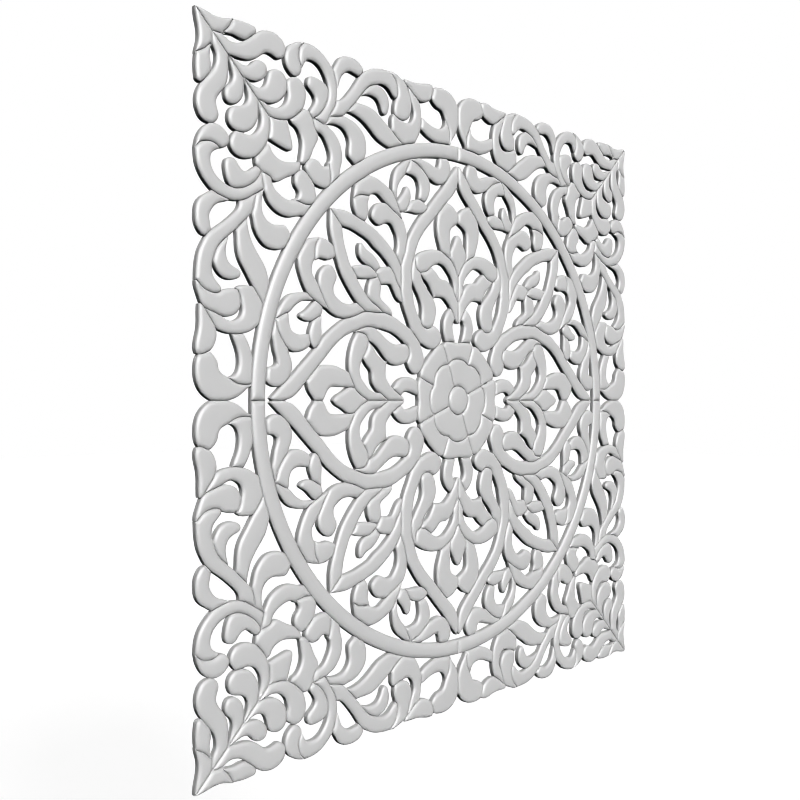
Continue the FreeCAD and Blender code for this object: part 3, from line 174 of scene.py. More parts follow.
@dataclass(frozen=True)
class CrownProfile:
    """Rounded front of a carved leaf.

    Attributes:
        top: Depth of the flat top in front of the back, in mm.
        rise: Height of the rounding, in mm.
        width: Distance from the edge at which the rounding ends, in mm.
        foot: Depth at which the carving starts in front of the back, in mm.
        steps: Distances from the edge at which rows of vertices lie, in mm.
    """

    top: float = 12.0
    rise: float = 4.7
    width: float = 8.4
    foot: float = 6.0
    steps: tuple[float, ...] = (0.2, 0.6, 1.2, 2.1, 3.3, 4.8, 6.5, 8.4)

    def depth(self, distance: np.ndarray) -> np.ndarray:
        """Depth of the surface: an ellipse quarter over the distance, then flat.

        Args:
            distance: Distances from the outline in mm.

        Returns:
            Depths in front of the back in mm.
        """
        share = np.clip(distance / self.width, 0.0, 1.0)
        return self.top - self.rise + self.rise * np.sqrt(1.0 - (1.0 - share) ** 2)


def inside(points: np.ndarray, edges: np.ndarray) -> np.ndarray:
    """Tells which points lie inside an outline, by counting the edges crossed to the right.

    Args:
        points: Rows of x, z.
        edges: Outline edges in any order, one row of two x, z ends each.

    Returns:
        One truth value for each point.
    """
    held = np.zeros(len(points), bool)
    low, high = edges[:, 0], edges[:, 1]
    rise = np.where(high[:, 1] == low[:, 1], TINY, high[:, 1] - low[:, 1])
    for first in range(0, len(points), CHUNK):
        x, z = points[first:first + CHUNK, :1], points[first:first + CHUNK, 1:]
        spans = (low[:, 1][None] > z) != (high[:, 1][None] > z)
        cross = low[:, 0] + (z - low[:, 1]) * (high[:, 0] - low[:, 0]) / rise
        held[first:first + CHUNK] = (spans & (cross > x)).sum(1) % 2 == 1
    return held


def edge_distance(points: np.ndarray, edges: np.ndarray) -> np.ndarray:
    """Shortest distance from each point to a set of straight edges.

    Each point is dropped onto every edge, clamped to its ends, and the least distance is kept.

    Args:
        points: Rows of x, z in mm.
        edges: One row of two x, z ends for each edge.

    Returns:
        One distance for each point.
    """
    best = np.empty(len(points))
    start = edges[:, 0]
    run = edges[:, 1] - start
    length = np.maximum((run ** 2).sum(1), TINY)
    for first in range(0, len(points), CHUNK):
        part = points[first:first + CHUNK, None, :] - start[None]
        share = np.clip((part * run[None]).sum(2) / length[None], 0.0, 1.0)
        gap = part - share[..., None] * run[None]
        best[first:first + CHUNK] = np.sqrt((gap ** 2).sum(2).min(1))
    return best


def edge_table(faces: np.ndarray) -> tuple[np.ndarray, np.ndarray, np.ndarray]:
    """Every edge of a set of triangles, once.

    Args:
        faces: Vertex numbers of triangles.

    Returns:
        The edges as rows of two rising vertex numbers, the number of the edge at each side of
        each triangle, and how many triangles use each edge.
    """
    sides = np.sort(faces[:, [[0, 1], [1, 2], [2, 0]]].reshape(-1, 2), axis=1)
    edges, number, count = np.unique(sides, axis=0, return_inverse=True, return_counts=True)
    return edges, number.ravel(), count


def directed_rim(faces: np.ndarray) -> np.ndarray:
    """Edges that only one triangle uses, in that triangle's direction.

    Args:
        faces: Vertex numbers of triangles.

    Returns:
        Rows of two vertex numbers.
    """
    _, number, count = edge_table(faces)
    return faces[:, [[0, 1], [1, 2], [2, 0]]].reshape(-1, 2)[count[number] == 1]


def lift_over(corners: np.ndarray, planes: np.ndarray, near: np.ndarray,
              far: np.ndarray) -> np.ndarray:
    """Sine of the angle at which a corner rises over the plane of a triangle.

    It is the part along the triangle's normal of the straight way from a corner in the plane to
    the corner looked at, over the length of that way.

    Args:
        corners: Rows of x, y, z in mm.
        planes: Triangles that span the planes, rows of three corner numbers.
        near: Number of a corner in each plane.
        far: Number of the corner looked at over each plane.

    Returns:
        One value for each plane, above zero where the two form a valley.
    """
    sides = corners[planes]
    normal = np.cross(sides[:, 1] - sides[:, 0], sides[:, 2] - sides[:, 0])
    normal /= np.maximum(np.linalg.norm(normal, axis=1), TINY)[:, None]
    reach = corners[far] - corners[near]
    return (normal * reach).sum(1) / np.maximum(np.linalg.norm(reach, axis=1), TINY)


def welded(node: bpy.types.Object, gap: float) -> tuple[np.ndarray, np.ndarray]:
    """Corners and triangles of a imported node, with doubled vertices joined.

    Args:
        node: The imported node; its own mesh isn't changed.
        gap: Distance in mm within which vertices are one.

    Returns:
        Rows of x, y, z in mm, and rows of three corner numbers.
    """
    copy = bmesh.new()
    copy.from_mesh(node.data)
    bmesh.ops.remove_doubles(copy, verts=copy.verts, dist=gap * MM)
    bmesh.ops.triangulate(copy, faces=copy.faces)
    mesh = bpy.data.meshes.new("welded")
    copy.to_mesh(mesh)
    copy.free()
    corners = np.empty(3 * len(mesh.vertices), np.float32)
    mesh.vertices.foreach_get("co", corners)
    faces = np.empty(3 * len(mesh.polygons), np.int32)
    mesh.polygons.foreach_get("vertices", faces)
    bpy.data.meshes.remove(mesh)
    return corners.reshape(-1, 3).astype(float) / MM, faces.reshape(-1, 3)


@dataclass(frozen=True)
class LineLimits:
    """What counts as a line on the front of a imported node.

    Attributes:
        gap: Distance within which vertices are one, in mm.
        level: Depth of the leaves' cut-back edges before the back, in mm.
        slack: How far a depth may lie off the level and still be on it, in mm.
        front: How far over the level a triangle of the front reaches at least, in mm.
        valley: How far over the level the bottom of a valley lies at most, in mm.
        lift: Sine of the bend from which two triangles form a valley.
        shortest: Length over which an edge of the rim is kept, in mm.
        corner: Turn in degrees from which a bend in a line is kept as a corner.
    """

    gap: float = 0.002
    level: float = 10.0
    slack: float = 0.02
    front: float = 0.05
    valley: float = 1.7
    lift: float = 0.1
    shortest: float = 0.001
    corner: float = 20.0


@dataclass
class LeafLines:
    """The lines on the front of a carved node from which its crowns rise.

    Attributes:
        spots: Ends of the lines' edges, rows of x, z in mm.
        rim: Edges round the front, rows of two spot numbers.
        seams: Edges between two leaves, rows of two spot numbers.
    """

    spots: np.ndarray
    rim: np.ndarray
    seams: np.ndarray

    @staticmethod
    def of(node: bpy.types.Object, limits: LineLimits) -> "LeafLines":
        """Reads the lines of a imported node.

        The front is every triangle that lies before the level at which the leaves' edges are cut
        back. Its rim is used by one such triangle. A seam is shared by two: it lies on the level,
        or it is the bottom of a valley below the top.

        Args:
            node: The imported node.
            limits: What counts as a line.

        Returns:
            The lines.
        """
        corners, faces = welded(node, limits.gap)
        depth, level = -corners[:, 1], limits.level
        front = faces[(depth[faces] > level - limits.slack).all(1)
                      & (depth[faces] > level + limits.front).any(1)]
        edges, number, count = edge_table(front)
        shared = edges[count == 2]
        order = np.argsort(number, kind="stable")
        place = np.concatenate([[0], np.cumsum(count)[:-1]])[count == 2]
        one, two = order[place], order[place + 1]
        across = front[:, [2, 0, 1]].ravel()
        lift = lift_over(corners, front[one // 3], shared[:, 0], across[two])
        bottom = depth[shared]
        on_level = (np.abs(bottom - level) < limits.slack).all(1)
        valley = (lift > limits.lift) & (bottom < level + limits.valley).all(1)
        rim = edges[count == 1]
        length = np.hypot(*(corners[rim[:, 0]] - corners[rim[:, 1]])[:, [0, 2]].T)
        return LeafLines(corners[:, [0, 2]], rim[length > limits.shortest],
                         shared[on_level | valley])

    def chains(self, corner: float) -> list[tuple[np.ndarray, bool]]:
        """Follows the lines from one corner or fork to the next.

        Args:
            corner: Turn in degrees from which a bend is kept as a corner.

        Returns:
            Spot numbers along each chain, and whether it belongs to the rim.
        """
        both = np.vstack([self.rim, self.seams])
        kind = np.repeat([1, 2], [len(self.rim), len(self.seams)])
        beside: dict[int, list[tuple[int, int]]] = {}
        for number, (one, two) in enumerate(both.tolist()):
            beside.setdefault(one, []).append((two, number))
            beside.setdefault(two, []).append((one, number))
        limit = math.cos(math.radians(corner))

        def stops(spot: int) -> bool:
            """Tells whether a chain ends at a spot.

            Args:
                spot: Number of the spot.

            Returns:
                True for a fork, an end, a change of kind or a corner.
            """
            ends = beside[spot]
            if len(ends) != 2 or kind[ends[0][1]] != kind[ends[1][1]]:
                return True
            one = self.spots[spot] - self.spots[ends[0][0]]
            two = self.spots[ends[1][0]] - self.spots[spot]
            return float(one @ two) < limit * float(np.hypot(*one) * np.hypot(*two))

        free = set(range(len(both)))
        starts = [spot for spot in beside if stops(spot)]
        made = []
        for spot in starts + [int(two) for two in both[:, 0]]:
            for ahead, number in beside[spot]:
                if number not in free:
                    continue
                free.discard(number)
                chain = [spot, ahead]
                here = ahead
                while here != spot and not stops(here):
                    follow = [(to, edge) for to, edge in beside[here] if edge in free]
                    if not follow:
                        break
                    here, edge = follow[0]
                    free.discard(edge)
                    chain.append(here)
                made.append((np.array(chain), bool(kind[number] == 1)))
        return made


@dataclass
class LineNet:
    """Evened lines as one set of spots and edges.

    Attributes:
        spots: Rows of x, z in mm.
        pairs: The edges, rows of two spot numbers.
        of_rim: Whether each edge belongs to the rim.
    """

    spots: np.ndarray
    pairs: np.ndarray
    of_rim: np.ndarray

    @staticmethod
    def of(chains: list[tuple[np.ndarray, bool]]) -> "LineNet":
        """Puts lines one after the other.

        Args:
            chains: Rows of x, z of each line, and whether it belongs to the rim.

        Returns:
            The net.
        """
        lines = [line for line, _ in chains]
        starts = np.cumsum([0] + [len(line) for line in lines])
        pairs = [np.column_stack([np.arange(len(line) - 1), np.arange(1, len(line))]) + start
                 for line, start in zip(lines, starts)]
        of_rim = np.repeat([rim for _, rim in chains], [len(line) - 1 for line in lines])
        return LineNet(np.vstack(lines), np.vstack(pairs), of_rim)

    def edges(self) -> np.ndarray:
        """Reads where the edges lie.

        Returns:
            One row of two x, z ends for each edge.
        """
        return self.spots[self.pairs]

    def outline(self) -> np.ndarray:
        """Reads where the edges of the rim lie.

        Returns:
            One row of two x, z ends for each edge of the rim.
        """
        return self.spots[self.pairs[self.of_rim]]


def triangulated(places: np.ndarray, pairs: np.ndarray, outline: np.ndarray,
                 gap: float) -> tuple[np.ndarray, np.ndarray, np.ndarray]:
    """Fills an outline with triangles between given places.

    Args:
        places: Rows of x, z in mm.
        pairs: Edges that have to stay, rows of two place numbers.
        outline: Outline edges, one row of two x, z ends each.
        gap: Distance in mm within which places are one.

    Returns:
        The spots used as rows of x, z, the triangles inside the outline, and for each spot the
        first given place that it stands for, or -1 where two edges cross.
    """
    made = delaunay_2d_cdt([Vector(place) for place in places.tolist()], pairs.tolist(), [], 0,
                           gap)
    spots = np.array([tuple(spot) for spot in made[0]])
    faces = np.array([face for face in made[2] if len(face) == 3])
    first = np.array([min(given, default=-1) for given in made[3]])
    return spots, faces[inside(spots[faces].mean(1), outline)], first


def closed(front: Shell, foot: float, gap: float) -> Shell:
    """Closes a front with straight walls and a flat back.

    Args:
        front: The open front.
        foot: Depth of the flat back in front of the panel's back, in mm.
        gap: Distance in mm within which places on the back are one.

    Returns:
        A closed shell.
    """
    used, rim = np.unique(directed_rim(front.faces), return_inverse=True)
    rim = rim.reshape(-1, 2)
    one, two = rim[:, 0], rim[:, 1]
    below = len(front.points) + np.arange(len(used))
    places = front.points[used][:, [0, 2]]
    feet = np.column_stack([places[:, 0], np.full(len(used), -foot), places[:, 1]])
    wall = np.vstack([np.column_stack([used[one], below[one], below[two]]),
                      np.column_stack([used[one], below[two], used[two]])])
    _, back, first = triangulated(places, rim, places[rim], gap)
    return Shell(np.vstack([front.points, feet]),
                 np.vstack([front.faces, wall, below[first[back]][:, ::-1]]))


@dataclass
class LeafCarver:
    """Makes the crowned front of a carved node from its lines.

    Attributes:
        crown: Profile of the rounding.
        limits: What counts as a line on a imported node.
        spacing: Distance between vertices along the lines, in mm.
        filling: Distance between vertices on the flat top, in mm.
        row_share: Share of its own step that a row keeps from every line.
        filling_share: Share of the filling kept free beyond the crown.
        front_gap: Distance in mm within which places on the front are one.
        back_gap: Distance in mm within which places on the back are one.
    """

    crown: CrownProfile = field(default_factory=CrownProfile)
    limits: LineLimits = field(default_factory=LineLimits)
    spacing: float = 3.5
    filling: float = 9.0
    row_share: float = 0.95
    filling_share: float = 0.4
    front_gap: float = 1e-3
    back_gap: float = 1e-4

    def evened(self, line: np.ndarray) -> np.ndarray:
        """A line read at even shares of its length.

        Args:
            line: Rows of x, z in mm.

        Returns:
            The line with about one spot for each step of the spacing, ends included.
        """
        far = np.concatenate([[0.0], np.cumsum(np.hypot(*np.diff(line, axis=0).T))])
        count = max(1, int(round(far[-1] / self.spacing)))
        if count == 1 and np.allclose(line[0], line[-1]):
            count = 3
        places = np.linspace(0.0, far[-1], count + 1)
        return np.column_stack([np.interp(places, far, line[:, 0]),
                                np.interp(places, far, line[:, 1])])

    def rows(self, line: np.ndarray) -> np.ndarray:
        """The line moved aside to both hands by each step of the crown.

        Args:
            line: Evened line.

        Returns:
            Rows of x, z and step.
        """
        along = np.gradient(line, axis=0)
        aside = np.column_stack([-along[:, 1], along[:, 0]])
        aside /= np.maximum(np.hypot(*aside.T), TINY)[:, None]
        return np.vstack([np.column_stack([line + hand * step * aside,
                                           np.full(len(line), step)])
                          for step in self.crown.steps for hand in (-1.0, 1.0)])

    def between(self, net: LineNet, lines: list[np.ndarray]) -> np.ndarray:
        """Places beside the lines and, in an even field, on the flat tops.

        Args:
            net: The lines as a net.
            lines: The same lines one by one.

        Returns:
            Rows of x, z.
        """
        edges, outline = net.edges(), net.outline()
        rows = np.vstack([self.rows(line) for line in lines])
        rows = rows[inside(rows[:, :2], outline)]
        rows = rows[edge_distance(rows[:, :2], edges) > self.row_share * rows[:, 2]][:, :2]
        low, high = net.spots.min(0), net.spots.max(0)
        across, up = np.meshgrid(np.arange(low[0], high[0], self.filling),
                                 np.arange(low[1], high[1], self.filling))
        flat = np.column_stack([across.ravel(), up.ravel()])
        flat = flat[inside(flat, outline)]
        room = self.crown.width + self.filling_share * self.filling
        return np.vstack([rows, flat[edge_distance(flat, edges) > room]])

    def carve(self, node: bpy.types.Object) -> Shell:
        """Closed shell of a carved node: crowned front, straight walls and flat back.

        Vertices lie on the lines, in rows beside them and in an even field on the flat tops. The
        depth of each is the crown's profile at its distance from the nearest line.

        Args:
            node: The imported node.

        Returns:
            The node's shell.
        """
        found = LeafLines.of(node, self.limits)
        chains = [(self.evened(found.spots[chain]), rim)
                  for chain, rim in found.chains(self.limits.corner)]
        net = LineNet.of(chains)
        everything = np.vstack([net.spots, self.between(net, [line for line, _ in chains])])
        places, faces, _ = triangulated(everything, net.pairs, net.outline(), self.front_gap)
        depth = self.crown.depth(edge_distance(places, net.edges()))
        front = Shell(np.column_stack([places[:, 0], -depth, places[:, 1]]), faces)
        return closed(front, self.crown.foot, self.back_gap)


def add_node(tree: bpy.types.NodeTree, kind: str, settings: dict | None = None,
             links: dict | None = None) -> bpy.types.Node:
    """Adds a shader node with its settings and incoming links.

    Args:
        tree: The material's node tree.
        kind: Node type name.
        settings: Socket name, socket number or property name to value.
        links: Input socket name or number to output socket.

    Returns:
        The new node.
    """
    node = tree.nodes.new(kind)
    for name, value in (settings or {}).items():
        if isinstance(name, int) or name in node.inputs:
            node.inputs[name].default_value = value
        else:
            setattr(node, name, value)
    for name, socket in (links or {}).items():
        tree.links.new(socket, node.inputs[name])
    return node


def empty_tree(owner: bpy.types.Material | bpy.types.World) -> bpy.types.NodeTree:
    """Turns the nodes of a material or world on and takes out what is in them.

    Args:
        owner: The material or world.

    Returns:
        Its empty node tree.
    """
    owner.use_nodes = True
    owner.node_tree.nodes.clear()
    return owner.node_tree


def linear(colour: str) -> tuple[float, float, float, float]:
    """An sRGB hex colour as linear red, green, blue and alpha.

    Args:
        colour: Six hex digits.

    Returns:
        The linear colour.
    """
    shares = [int(colour[place:place + 2], 16) / 255 for place in (0, 2, 4)]
    light = [share / 12.92 if share <= 0.04045 else ((share + 0.055) / 1.055) ** 2.4
             for share in shares]
    return (light[0], light[1], light[2], 1.0)


@dataclass(frozen=True)
class PaintedBoard:
    """Fibreboard, routed and sprayed with a smooth matt paint.

    The spray leaves a faint stipple and very slight differences in tone; the matt coat gives a
    broad, weak sheen.

    Attributes:
        tone: Colour of the coat.
        shade: Colour where the coat is thinner.
        roughness: Roughness of the coat.
        sheen: Strength of the coat's sheen, where 0.5 is a plain varnish.
        stipple: Width of a stipple grain in mm.
        relief: Height of the stipple in mm.
        relief_share: Share of that height that shows.
        cloud: Width of a patch of slightly different tone in mm.
    """

    tone: str = "cfcfcf"
    shade: str = "cbcbcb"
    roughness: float = 0.53
    sheen: float = 0.22
    stipple: float = 1.6
    relief: float = 0.05
    relief_share: float = 0.12
    cloud: float = 90.0

    def material(self) -> bpy.types.Material:
        """Builds the paint's material.

        Returns:
            A material whose patterns read object coordinates in metres.
        """
        made = bpy.data.materials.new("matt_paint_on_fibreboard")
        tree = empty_tree(made)
        place = add_node(tree, "ShaderNodeTexCoord").outputs["Object"]
        cloud = add_node(tree, "ShaderNodeTexNoise",
                         {"Scale": 1.0 / (self.cloud * MM), "Detail": 2.0, "Roughness": 0.5},
                         {"Vector": place})
        tone = add_node(tree, "ShaderNodeMix",
                        {"data_type": "RGBA", MIX_FIRST: linear(self.shade),
                         MIX_SECOND: linear(self.tone)},
                        {MIX_SHARE: cloud.outputs["Fac"]})
        grain = add_node(tree, "ShaderNodeTexNoise",
                         {"Scale": 1.0 / (self.stipple * MM), "Detail": 3.0, "Roughness": 0.55},
                         {"Vector": place})
        bump = add_node(tree, "ShaderNodeBump",
                        {"Strength": self.relief_share, "Distance": self.relief * MM},
                        {"Height": grain.outputs["Fac"]})
        coat = add_node(tree, "ShaderNodeBsdfPrincipled",
                        {"Roughness": self.roughness, "Specular IOR Level": self.sheen},
                        {"Base Color": tone.outputs[2], "Normal": bump.outputs["Normal"]})
        add_node(tree, "ShaderNodeOutputMaterial", links={"Surface": coat.outputs["BSDF"]})
        return made


@dataclass(frozen=True)
class PlainSteel:
    """Drawn steel rod, left plain: fine marks along the rod from the drawing die.

    Attributes:
        tone: Colour of the bare metal.
        roughness: Roughness of the drawn surface.
        uneven: How far the roughness varies to either side.
        mark: Spacing of the drawing marks in mm.
    """

    tone: str = "b9bbbd"
    roughness: float = 0.38
    uneven: float = 0.06
    mark: float = 0.6

    def material(self) -> bpy.types.Material:
        """Builds the steel's material.

        Returns:
            A metallic material with fine marks in its roughness.
        """
        made = bpy.data.materials.new("drawn_steel")
        tree = empty_tree(made)
        place = add_node(tree, "ShaderNodeTexCoord").outputs["Object"]
        marks = add_node(tree, "ShaderNodeTexNoise",
                         {"Scale": 1.0 / (self.mark * MM), "Detail": 2.0}, {"Vector": place})
        spread = add_node(tree, "ShaderNodeMapRange",
                          {"To Min": self.roughness - self.uneven,
                           "To Max": self.roughness + self.uneven},
                          {"Value": marks.outputs["Fac"]})
        metal = add_node(tree, "ShaderNodeBsdfPrincipled",
                         {"Base Color": linear(self.tone), "Metallic": 1.0},
                         {"Roughness": spread.outputs["Result"]})
        add_node(tree, "ShaderNodeOutputMaterial", links={"Surface": metal.outputs["BSDF"]})
        return made


@dataclass
class CarvedSet:
    """One kind of carved piece in all its mirrored places.

    Attributes:
        kind: Name of the kind; a node is named for its kind and place.
        places: Place names with the mirror image that leads to them.
    """

    kind: str
    places: dict[str, Mirror]

    def build(self, carver: LeafCarver, paint: bpy.types.Material) -> list[bpy.types.Object]:
        """Carves the leaves of the first place and mirrors them to the others.

        Args:
            carver: Makes a leaf from its outline.
            paint: The finish.

        Returns:
            One object for each place.
        """
        first = next(iter(self.places))
        whole = carver.carve(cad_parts[f"{self.kind}_{first}"])
        made = []
        for place, mirror in self.places.items():
            node = f"{self.kind}_{place}"
            piece = mesh_object(f"carved_{node}", whole.mirrored(mirror), paint)
            stand_for(piece, node)
            made.append(piece)
        LOG.info("%s: %d faces in each of %d places", self.kind, len(whole.faces), len(made))
        return made


@dataclass
class RosettePart:
    """A round part of the rosette, carved in its one place.

    Attributes:
        node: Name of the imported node.
    """

    node: str

    def build(self, carver: LeafCarver, paint: bpy.types.Material) -> bpy.types.Object:
        """Carves every leaf of the part.

        Args:
            carver: Makes a leaf from its outline.
            paint: The finish.

        Returns:
            The new object.
        """
        shell = carver.carve(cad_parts[self.node])
        piece = mesh_object(f"carved_{self.node}", shell, paint)
        stand_for(piece, self.node)
        LOG.info("%s: %d faces", self.node, len(shell.faces))
        return piece


@dataclass
class TurnedArc:
    """Quarter of the plain ring: a crowned profile carried along an arc to crowned ends.

    Attributes:
        inner: Inner radius in mm.
        outer: Outer radius in mm.
        crown: Profile of the rounding.
        segments: Steps along the arc.
    """

    inner: float = 467.4
    outer: float = 495.6
    crown: CrownProfile = CrownProfile(rise=5.8, width=12.0,
                                       steps=(0.25, 0.8, 1.7, 3.0, 4.7, 6.8, 9.3, 12.0))
    segments: int = 96

    def radii(self) -> np.ndarray:
        """Radii of the rows of vertices, close together on the crowns.

        Returns:
            Rising radii in mm, from the inner to the outer edge.
        """
        middle = (self.outer - self.inner) / 2
        steps = np.array([0.0, *[step for step in self.crown.steps if step < middle], middle])
        return self.inner + np.concatenate([steps, 2 * middle - steps[-2::-1]])

    def angles(self) -> np.ndarray:
        """Angles of the profiles, close together at both ends.

        Returns:
            Rising angles in radians, from 0 to a quarter turn.
        """
        ends = np.array([0.0, *self.crown.steps]) / self.outer
        inner = np.linspace(ends[-1], math.pi / 2 - ends[-1], self.segments + 1)[1:-1]
        return np.concatenate([ends, inner, math.pi / 2 - ends[::-1]])

    def shell(self) -> Shell:
        """The arc of the upper right quarter.

        Radius and angle give x and z. The depth is the crown's profile at the distance from the
        nearest of the four edges: inner, outer and the two ends on the middle lines.

        Returns:
            A closed shell.
        """
        radius, angle = np.meshgrid(self.radii(), self.angles())
        x, z = np.cos(angle) * radius, np.sin(angle) * radius
        edge = np.minimum(np.minimum(radius - self.inner, self.outer - radius),
                          np.minimum(x, z))
        foot = np.full((len(x), 1), self.crown.foot)
        depth = np.hstack([foot, self.crown.depth(np.maximum(edge, 0.0)), foot])
        x, z = [np.hstack([side[:, :1], side, side[:, -1:]]) for side in (x, z)]
        points = np.stack([x, -depth, z], axis=2).reshape(-1, 3)
        rows = x.shape[1]
        step, row = np.meshgrid(np.arange(len(x) - 1), np.arange(rows), indexing="ij")
        here = (step * rows + row).ravel()
        beside = (step * rows + (row + 1) % rows).ravel()
        faces = np.vstack([np.column_stack([here, beside, beside + rows]),
                           np.column_stack([here, beside + rows, here + rows])])
        fan = np.column_stack([np.zeros(rows - 2, int), np.arange(1, rows - 1),
                               np.arange(2, rows)])
        ends = np.vstack([fan[:, ::-1], fan + (len(x) - 1) * rows])
        return Shell(points, np.vstack([faces, ends]))

    def build(self, paint: bpy.types.Material) -> list[bpy.types.Object]:
        """Makes the four arcs of the ring.

        Args:
            paint: The finish.

        Returns:
            One object for each quarter.
        """
        shell = self.shell()
        made = []
        for place, mirror in QUARTERS.items():
            piece = mesh_object(f"turned_ring_arc_{place}", shell.mirrored(mirror), paint)
            stand_for(piece, f"ring_arc_{place}")
            made.append(piece)
        LOG.info("ring: %d arcs", len(made))
        return made


@dataclass
class TurnedButton:
    """Round button in the middle of the rosette: a crowned edge and a low dome.

    Attributes:
        radius: Radius in mm.
        dome: Height of the dome over the flat tops of the leaves, in mm.
        crown: Profile of the rounding.
        segments: Steps round the button.
        rings: Rings of vertices on the dome.
    """

    radius: float = 27.9
    dome: float = 1.5
    crown: CrownProfile = field(default_factory=CrownProfile)
    segments: int = 128
    rings: int = 8

    def shell(self) -> Shell:
        """The button: a crown's profile plus a parabola over the distance from the middle.

        Returns:
            A closed shell.
        """
        inner = np.linspace(0.0, self.radius - self.crown.width, self.rings + 1)
        rounds = np.concatenate([inner[1:], self.radius - np.array(self.crown.steps[-2::-1]),
                                 [self.radius]])
        rise = self.dome * (1.0 - (rounds / self.radius) ** 2)
        depth = self.crown.depth(self.radius - rounds) + rise
        rounds = np.append(rounds, self.radius)
        depth = np.append(depth, self.crown.foot)
        angle = np.linspace(0.0, 2 * math.pi, self.segments, endpoint=False)
        x = np.cos(angle)[None] * rounds[:, None]
        z = np.sin(angle)[None] * rounds[:, None]
        y = np.broadcast_to(-depth[:, None], x.shape)
        middle = [[0.0, -self.crown.top - self.dome, 0.0], [0.0, -self.crown.foot, 0.0]]
        points = np.vstack([np.stack([x, y, z], axis=2).reshape(-1, 3), middle])
        ring, step = np.meshgrid(np.arange(len(rounds) - 1), np.arange(self.segments),
                                 indexing="ij")
        here = (ring * self.segments + step).ravel()
        beside = (ring * self.segments + (step + 1) % self.segments).ravel()
        faces = [np.column_stack([here, beside + self.segments, beside]),
                 np.column_stack([here, here + self.segments, beside + self.segments])]
        first = np.arange(self.segments)
        after = (first + 1) % self.segments
        last = (len(rounds) - 1) * self.segments
        top, back = len(points) - 2, len(points) - 1
        faces.append(np.column_stack([np.full(self.segments, top), first, after]))
        faces.append(np.column_stack([np.full(self.segments, back), last + after, last + first]))
        return Shell(points, np.vstack(faces))

    def build(self, paint: bpy.types.Material) -> bpy.types.Object:
        """Makes the button.

        Args:
            paint: The finish.

        Returns:
            The new object.
        """
        piece = mesh_object("turned_button", self.shell(), paint)
        stand_for(piece, "rosette_button")
        LOG.info("button: %d faces", len(piece.data.polygons))
        return piece


@dataclass
class BareNodes:
    """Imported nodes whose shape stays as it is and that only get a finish.

    Attributes:
        names: Node names.
    """

    names: tuple[str, ...]

    def dress(self, material: bpy.types.Material) -> None:
        """Gives every node the material.

        Args:
            material: The finish.
        """
        for name in self.names:
            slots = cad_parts[name].data.materials
            slots.clear()
            slots.append(material)
        LOG.info("dressed: %s", ", ".join(self.names))


@dataclass(frozen=True)
class Lamp:
    """A distant lamp.

    Attributes:
        name: Its name.
        strength: Its strength.
        toward: Direction in which it shines.
        width: Its apparent width in degrees.
        sheen_only: Whether only the sheen of a surface shows it.
        away: How far from the origin it hangs in m; its light is the same from anywhere.
    """

    name: str
    strength: float
    toward: tuple[float, float, float]
    width: float
    sheen_only: bool = False
    away: float = 2.0

    def hang(self) -> None:
        """Hangs the lamp so that it shines towards the origin."""
        sun = bpy.data.lights.new(self.name, "SUN")
        sun.energy = self.strength
        sun.angle = math.radians(self.width)
        lamp = bpy.data.objects.new(self.name, sun)
        lamp.rotation_mode = "QUATERNION"
        lamp.rotation_quaternion = Vector(self.toward).to_track_quat("-Z", "Y")
        lamp.location = -self.away * Vector(self.toward)
        lamp.visible_diffuse = not self.sheen_only
        bpy.context.scene.collection.objects.link(lamp)


@dataclass(frozen=True)
class WhiteFloor:
    """Wide floor of white paper, well below the hanging panel.

    The camera sees a white that glows over the paper and keeps a faint shadow. All other rays
    meet a dim paper, so that the floor throws no light up to the panel.

    Attributes:
        depth: How far the floor lies under the middle of the panel, in mm.
        reach: How far it runs from the middle to each side, in m.
        paper: Colour of the paper for the camera.
        dim: Colour of the paper for all other rays.
        glow: Brightness of the white over the paper.
        glow_share: Share of that white in what the camera sees.
    """

    depth: float = 1900.0
    reach: float = 30.0
    paper: str = "f4f4f4"
    dim: str = "262626"
    glow: float = 1.16
    glow_share: float = 0.8

    def material(self) -> bpy.types.Material:
        """Builds the paper's material.

        Returns:
            The material.
        """
        made = bpy.data.materials.new("white_floor_paper")
        tree = empty_tree(made)
        path = add_node(tree, "ShaderNodeLightPath")
        seen = path.outputs["Is Camera Ray"]
        tone = add_node(tree, "ShaderNodeMix",
                        {"data_type": "RGBA", MIX_FIRST: linear(self.dim),
                         MIX_SECOND: linear(self.paper)}, {MIX_SHARE: seen})
        paper = add_node(tree, "ShaderNodeBsdfDiffuse", links={"Color": tone.outputs[2]})
        white = add_node(tree, "ShaderNodeEmission", {"Strength": self.glow})
        share = add_node(tree, "ShaderNodeMath", {"operation": "MULTIPLY", 1: self.glow_share},
                         {0: seen})
        mixed = add_node(tree, "ShaderNodeMixShader",
                         links={SHADE_SHARE: share.outputs[0], SHADE_FIRST: paper.outputs[0],
                                SHADE_SECOND: white.outputs[0]})
        add_node(tree, "ShaderNodeOutputMaterial", links={"Surface": mixed.outputs[0]})
        return made

    def lay(self) -> None:
        """Lays the floor as part of the stage."""
        mesh = bpy.data.meshes.new("studio_floor")
        level = -self.depth * MM
        ends = (-self.reach, self.reach)
        mesh.from_pydata([(ends[x], ends[y], level) for x, y in ((0, 0), (1, 0), (1, 1), (0, 1))],
                         [], [(0, 1, 2, 3)])
        mesh.materials.append(self.material())
        floor = bpy.data.objects.new("studio_floor", mesh)
        bpy.context.scene.collection.objects.link(floor)


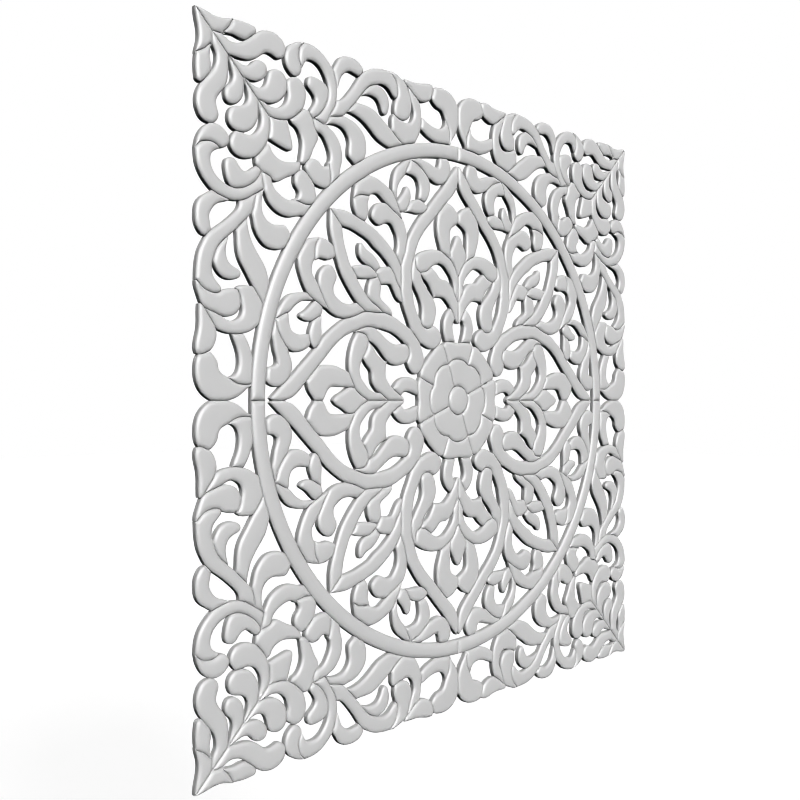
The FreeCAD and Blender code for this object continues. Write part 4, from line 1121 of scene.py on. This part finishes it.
@dataclass(frozen=True)
class Studio:
    """Camera, lamps, floor and backdrop.

    The main lamp shines from in front, up and a little to the left. A softbox beside it is seen by
    the sheen of the paint only, and draws the bright line on the rounded edges that face it. A
    weak lamp lights the back.

    Attributes:
        half_side: Half the panel's side in mm, the unit of the camera's place.
        camera_shares: Camera's place from the panel's middle, in shares of the half side.
        look: Direction in which the level camera looks.
        lens: Focal length in mm.
        frame_width: Width of the camera's frame in mm.
        sharpness: Width in pixels over which the camera blends neighbouring points.
        lamps: The lamps.
        floor: The floor.
        fill: Brightness of the surroundings for diffuse rays.
    """

    half_side: float = 600.0
    camera_shares: tuple[float, float, float] = (-2.3595, -2.1061, 0.0017)
    look: tuple[float, float, float] = (1.0, 1.0, 0.0)
    lens: float = 43.457
    frame_width: float = 36.0
    sharpness: float = 0.9
    lamps: tuple[Lamp, ...] = (
        Lamp("main_lamp", 3.33, (0.26, 0.84, -0.47), 10.0),
        Lamp("shine_lamp", 29.0, (0.33, 0.88, -0.34), 16.0, sheen_only=True),
        Lamp("back_lamp", 2.4, (-0.05, -1.0, -0.05), 12.0))
    floor: WhiteFloor = WhiteFloor()
    fill: float = 0.004

    def camera(self) -> None:
        """Sets up the camera."""
        data = bpy.data.cameras.new("photo_view")
        data.lens = self.lens
        data.sensor_width = self.frame_width
        camera = bpy.data.objects.new("photo_view", data)
        camera.location = Vector(self.camera_shares) * self.half_side * MM
        camera.rotation_mode = "QUATERNION"
        camera.rotation_quaternion = Vector(self.look).to_track_quat("-Z", "Y")
        bpy.context.scene.collection.objects.link(camera)
        bpy.context.scene.camera = camera

    def surroundings(self) -> None:
        """White backdrop for the camera and mirrors, a dim even light for everything else."""
        world = bpy.data.worlds.new("studio")
        tree = empty_tree(world)
        path = add_node(tree, "ShaderNodeLightPath")
        through = add_node(tree, "ShaderNodeMath", {"operation": "MAXIMUM"},
                           {0: path.outputs["Is Glossy Ray"],
                            1: path.outputs["Is Transmission Ray"]})
        seen = add_node(tree, "ShaderNodeMath", {"operation": "MAXIMUM"},
                        {0: path.outputs["Is Camera Ray"], 1: through.outputs[0]})
        white = {"Color": linear("ffffff")}
        dim = add_node(tree, "ShaderNodeBackground", {**white, "Strength": self.fill})
        full = add_node(tree, "ShaderNodeBackground", {**white, "Strength": 1.0})
        mixed = add_node(tree, "ShaderNodeMixShader",
                         links={SHADE_SHARE: seen.outputs[0], SHADE_FIRST: dim.outputs[0],
                                SHADE_SECOND: full.outputs[0]})
        add_node(tree, "ShaderNodeOutputWorld", links={"Surface": mixed.outputs[0]})
        bpy.context.scene.world = world

    def build(self) -> None:
        """Sets up the whole studio, with shadows that no light bounced off the panel fills."""
        scene = bpy.context.scene
        scene.view_settings.view_transform = "Standard"
        scene.cycles.diffuse_bounces = 0
        scene.cycles.filter_width = self.sharpness
        self.camera()
        for lamp in self.lamps:
            lamp.hang()
        self.surroundings()
        self.floor.lay()


def main() -> None:
    """Builds every part of the panel in order and reports each."""
    logging.basicConfig(level=logging.INFO, format="%(name)s: %(message)s")
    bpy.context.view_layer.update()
    paint = PaintedBoard().material()
    steel = PlainSteel().material()
    carver = LeafCarver()
    for kind, places in (("border_scroll", EIGHTHS), ("spandrel_scroll", EIGHTHS),
                         ("corner_spray", QUARTERS), ("corner_fan", QUARTERS),
                         ("lens_flower", QUARTERS), ("ogee_arch", QUARTERS),
                         ("border_heart", SIDES), ("palmette", SIDES)):
        CarvedSet(kind, places).build(carver, paint)
    for node in ("rosette_outer_petals", "rosette_inner_flower"):
        RosettePart(node).build(carver, paint)
    TurnedButton().build(paint)
    TurnedArc().build(paint)
    BareNodes(tuple(f"back_fret_{place}" for place in QUARTERS)).dress(paint)
    BareNodes(("joint_pins",)).dress(steel)
    Studio().build()


if __name__ == "__main__":
    main()
